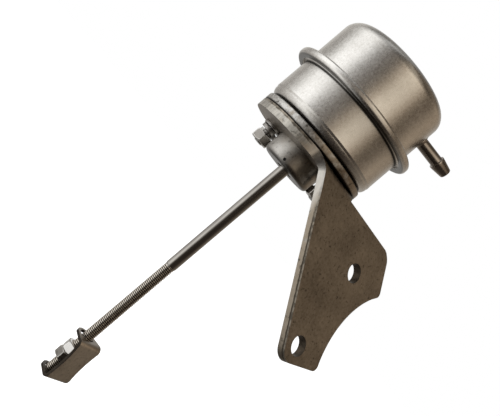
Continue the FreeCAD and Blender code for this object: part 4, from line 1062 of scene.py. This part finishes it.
# Painted shade: the cut edges and the ear holes' walls are painted nearly black.
clip_edge = sheared("clip_edge", (0.10, 0.088, 0.075), (0.055, 0.046, 0.037), (0.03, 0.025, 0.02), 0.2, -20.0)
clip_piece = placed("rod_clip_strip", clip_mesh, "clip", ["rod_clip"],
                    [clip_plate, clip_edge, clip_edge])
softened(clip_piece, 0.3, 3)


# Floor: a plain pale sheet well below the part. It is matt and keeps the part's soft shadow.

def camera_like(tree):
    """1 for rays from the camera, from glossy surfaces and through glass, else 0."""
    ray = linked(tree, "ShaderNodeLightPath")
    seen = worked(tree, "MAXIMUM", ray.outputs["Is Camera Ray"], ray.outputs["Is Glossy Ray"])
    return worked(tree, "MAXIMUM", seen, ray.outputs["Is Transmission Ray"])


floor_level = -0.21
half_floor = 9
floor_mesh = bpy.data.meshes.new("floor")
floor_mesh.from_pydata([
    (-half_floor, -half_floor, floor_level), (half_floor, -half_floor, floor_level),
    (half_floor, half_floor, floor_level), (-half_floor, half_floor, floor_level),
], [], [(0, 1, 2, 3)])
floor = new_object("floor", floor_mesh)
pale = bpy.data.materials.new("pale_floor")
pale.use_nodes = True
tree = pale.node_tree
tree.nodes.remove(tree.nodes["Principled BSDF"])
matt = linked(tree, "ShaderNodeBsdfDiffuse", {"Color": (0.86, 0.86, 0.86, 1.0)})
glow = linked(tree, "ShaderNodeEmission", {"Color": (1.0, 1.0, 1.0, 1.0)})
tree.links.new(worked(tree, "MULTIPLY", camera_like(tree), 0.62), glow.inputs["Strength"])
both = linked(tree, "ShaderNodeAddShader", {0: matt.outputs["BSDF"], 1: glow.outputs["Emission"]})
tree.links.new(both.outputs["Shader"], tree.nodes["Material Output"].inputs["Surface"])
floor_mesh.materials.append(pale)
floor.visible_glossy = False


# Studio surround: soft cards close round the part that only its shiny surfaces show. The upper
# cards are bright at the left and warm beside the camera, the lower ones are bright at the left.

def cards_ramp(tree, around, stops):
    """Colour of the cards by angle in degrees from the camera, positive towards its right."""
    ramp = linked(tree, "ShaderNodeValToRGB", {"Fac": around})
    while len(ramp.color_ramp.elements) > 1:
        ramp.color_ramp.elements.remove(ramp.color_ramp.elements[0])
    first = ramp.color_ramp.elements[0]
    first.position = 0.0
    first.color = (*stops[0][1], 1.0)
    for degrees, colour in stops[1:]:
        stop = ramp.color_ramp.elements.new((degrees + 180) / 360)
        stop.color = (*colour, 1.0)
    return ramp.outputs["Color"]


dome_radius = 800
angle = np.linspace(0, 2 * math.pi, 96, endpoint=False)
rise = np.linspace(-math.pi / 2, math.pi / 2, 49)
dome = np.empty((len(rise), len(angle), 3))
dome[..., 0] = dome_radius * np.cos(rise)[:, None] * np.cos(angle)
dome[..., 1] = dome_radius * np.cos(rise)[:, None] * np.sin(angle)
dome[..., 2] = dome_radius * np.sin(rise)[:, None]
surround = new_object("studio_surround", surface("studio_surround", dome, False, True))
cards = bpy.data.materials.new("studio_cards")
cards.use_nodes = True
tree = cards.node_tree
tree.nodes.remove(tree.nodes["Principled BSDF"])
place = linked(tree, "ShaderNodeTexCoord")
camera_way = math.radians(36.35)
facing = linked(tree, "ShaderNodeMapping", {
    "Vector": place.outputs["Object"], "Rotation": (0.0, 0.0, camera_way)})
around = linked(tree, "ShaderNodeTexGradient", {"Vector": facing.outputs["Vector"]}, gradient_type="RADIAL")
upper_stops = [
    (-180, (0.80, 0.80, 0.79)),
    (-150, (0.80, 0.78, 0.74)),
    (-125, (0.40, 0.38, 0.36)),
    (-105, (0.90, 0.90, 0.88)),
    (-92, (1.60, 1.61, 1.61)),
    (-66, (1.60, 1.61, 1.61)),
    (-48, (0.44, 0.43, 0.42)),
    (-30, (0.20, 0.18, 0.165)),
    (-12, (0.20, 0.175, 0.15)),
    (2, (0.56, 0.46, 0.355)),
    (16, (0.97, 0.86, 0.705)),
    (36, (0.96, 0.84, 0.685)),
    (50, (0.50, 0.395, 0.29)),
    (62, (0.16, 0.125, 0.09)),
    (76, (0.15, 0.115, 0.085)),
    (92, (0.30, 0.24, 0.18)),
    (108, (0.49, 0.39, 0.29)),
    (130, (0.34, 0.27, 0.20)),
    (160, (0.6, 0.58, 0.55)),
    (180, (0.80, 0.80, 0.79)),
]
top_stops = [(at, tuple((1.25 if 0 < at < 45 else 1.0) * part for part in colour))
             for at, colour in upper_stops]
upper_cards = cards_ramp(tree, around.outputs["Fac"], upper_stops)
top_cards = cards_ramp(tree, around.outputs["Fac"], top_stops)
lower_cards = cards_ramp(tree, around.outputs["Fac"], [
    (-180, (0.60, 0.59, 0.57)),
    (-128, (0.42, 0.40, 0.38)),
    (-105, (0.78, 0.76, 0.73)),
    (-82, (1.02, 1.01, 0.99)),
    (-64, (1.30, 1.30, 1.28)),
    (-47, (1.15, 1.14, 1.11)),
    (-36, (0.50, 0.48, 0.45)),
    (-18, (0.065, 0.056, 0.048)),
    (15, (0.045, 0.036, 0.029)),
    (60, (0.055, 0.043, 0.035)),
    (88, (0.15, 0.125, 0.10)),
    (128, (0.34, 0.29, 0.235)),
    (180, (0.60, 0.59, 0.57)),
])
parted = linked(tree, "ShaderNodeSeparateXYZ", {"Vector": place.outputs["Object"]})
height = parted.outputs["Z"]
mixed = blended(tree, ranged(tree, height, -0.06, 0.22, interpolation_type="SMOOTHSTEP"),
                lower_cards, upper_cards)
topped = blended(tree, ranged(tree, height, 0.25, 0.32, interpolation_type="SMOOTHSTEP"), mixed, top_cards)
deep = ranged(tree, height, -0.62, -0.36, 0.50, 1.0)
high = ranged(tree, height, 0.47, 0.62, 1.0, 0.44)
glow = linked(tree, "ShaderNodeEmission", {"Color": topped, "Strength": worked(tree, "MULTIPLY", deep, high)})
tree.links.new(glow.outputs["Emission"], tree.nodes["Material Output"].inputs["Surface"])
surround.data.materials.append(cards)
surround.visible_camera = False
surround.visible_diffuse = False
surround.visible_shadow = False
surround.visible_transmission = False


# Studio light: a white world and two large soft lamps.

world = bpy.data.worlds.new("studio")
bpy.context.scene.world = world
world.use_nodes = True
tree = world.node_tree
background = tree.nodes["Background"]
background.inputs["Color"].default_value = (1.0, 1.0, 1.0, 1.0)
strength = ranged(tree, camera_like(tree), 0.0, 1.0, 0.55, 1.0)
tree.links.new(strength, background.inputs["Strength"])


def soft_lamp(name, place, aim, size, power):
    """Square area lamp that points at the given place; positions in metres."""
    data = bpy.data.lights.new(name, "AREA")
    data.shape = "SQUARE"
    data.size = size
    data.energy = power
    lamp = new_object(name, data)
    lamp.location = place
    lamp.rotation_euler = (Vector(aim) - Vector(place)).to_track_quat("-Z", "Y").to_euler()
    lamp.visible_glossy = False


soft_lamp("key_lamp", (-0.2, -1.1, 0.9), (0, 0, 0), 0.8, 14.0)
soft_lamp("fill_lamp", (1.2, 0.4, 0.8), (0, 0, 0), 1.0, 8.0)


# Camera: stands level with the bracket's leg and is rolled, so the rod runs down to the left.

photo_width = 500.0
focal_pixels = 707.0
sensor = 36.0
camera_data = bpy.data.cameras.new("camera")
camera_data.lens = focal_pixels * sensor / photo_width
camera_data.sensor_width = sensor
camera = new_object("camera", camera_data)
toward_right = Vector((0.5927, 0.8054, 0.0))
upward = Vector((0.0, 0.0, 1.0))
backward = toward_right.cross(upward)
level_share = 0.6504
rise_share = 0.7596
roll = 0.00405
right = toward_right * (level_share - roll * rise_share) + upward * (rise_share + roll * level_share)
top = toward_right * (-rise_share - roll * level_share) + upward * (level_share - roll * rise_share)
stand = Vector((0.2883, -0.2072, -0.0411)) - right * 0.00030 + top * 0.00037
camera.matrix_world = Matrix((
    (right.x, top.x, backward.x, stand.x),
    (right.y, top.y, backward.y, stand.y),
    (right.z, top.z, backward.z, stand.z),
    (0, 0, 0, 1),
))
camera_data.clip_start = 0.01
camera_data.clip_end = 50.0
bpy.context.scene.camera = camera
bpy.context.scene.view_settings.view_transform = "Standard"
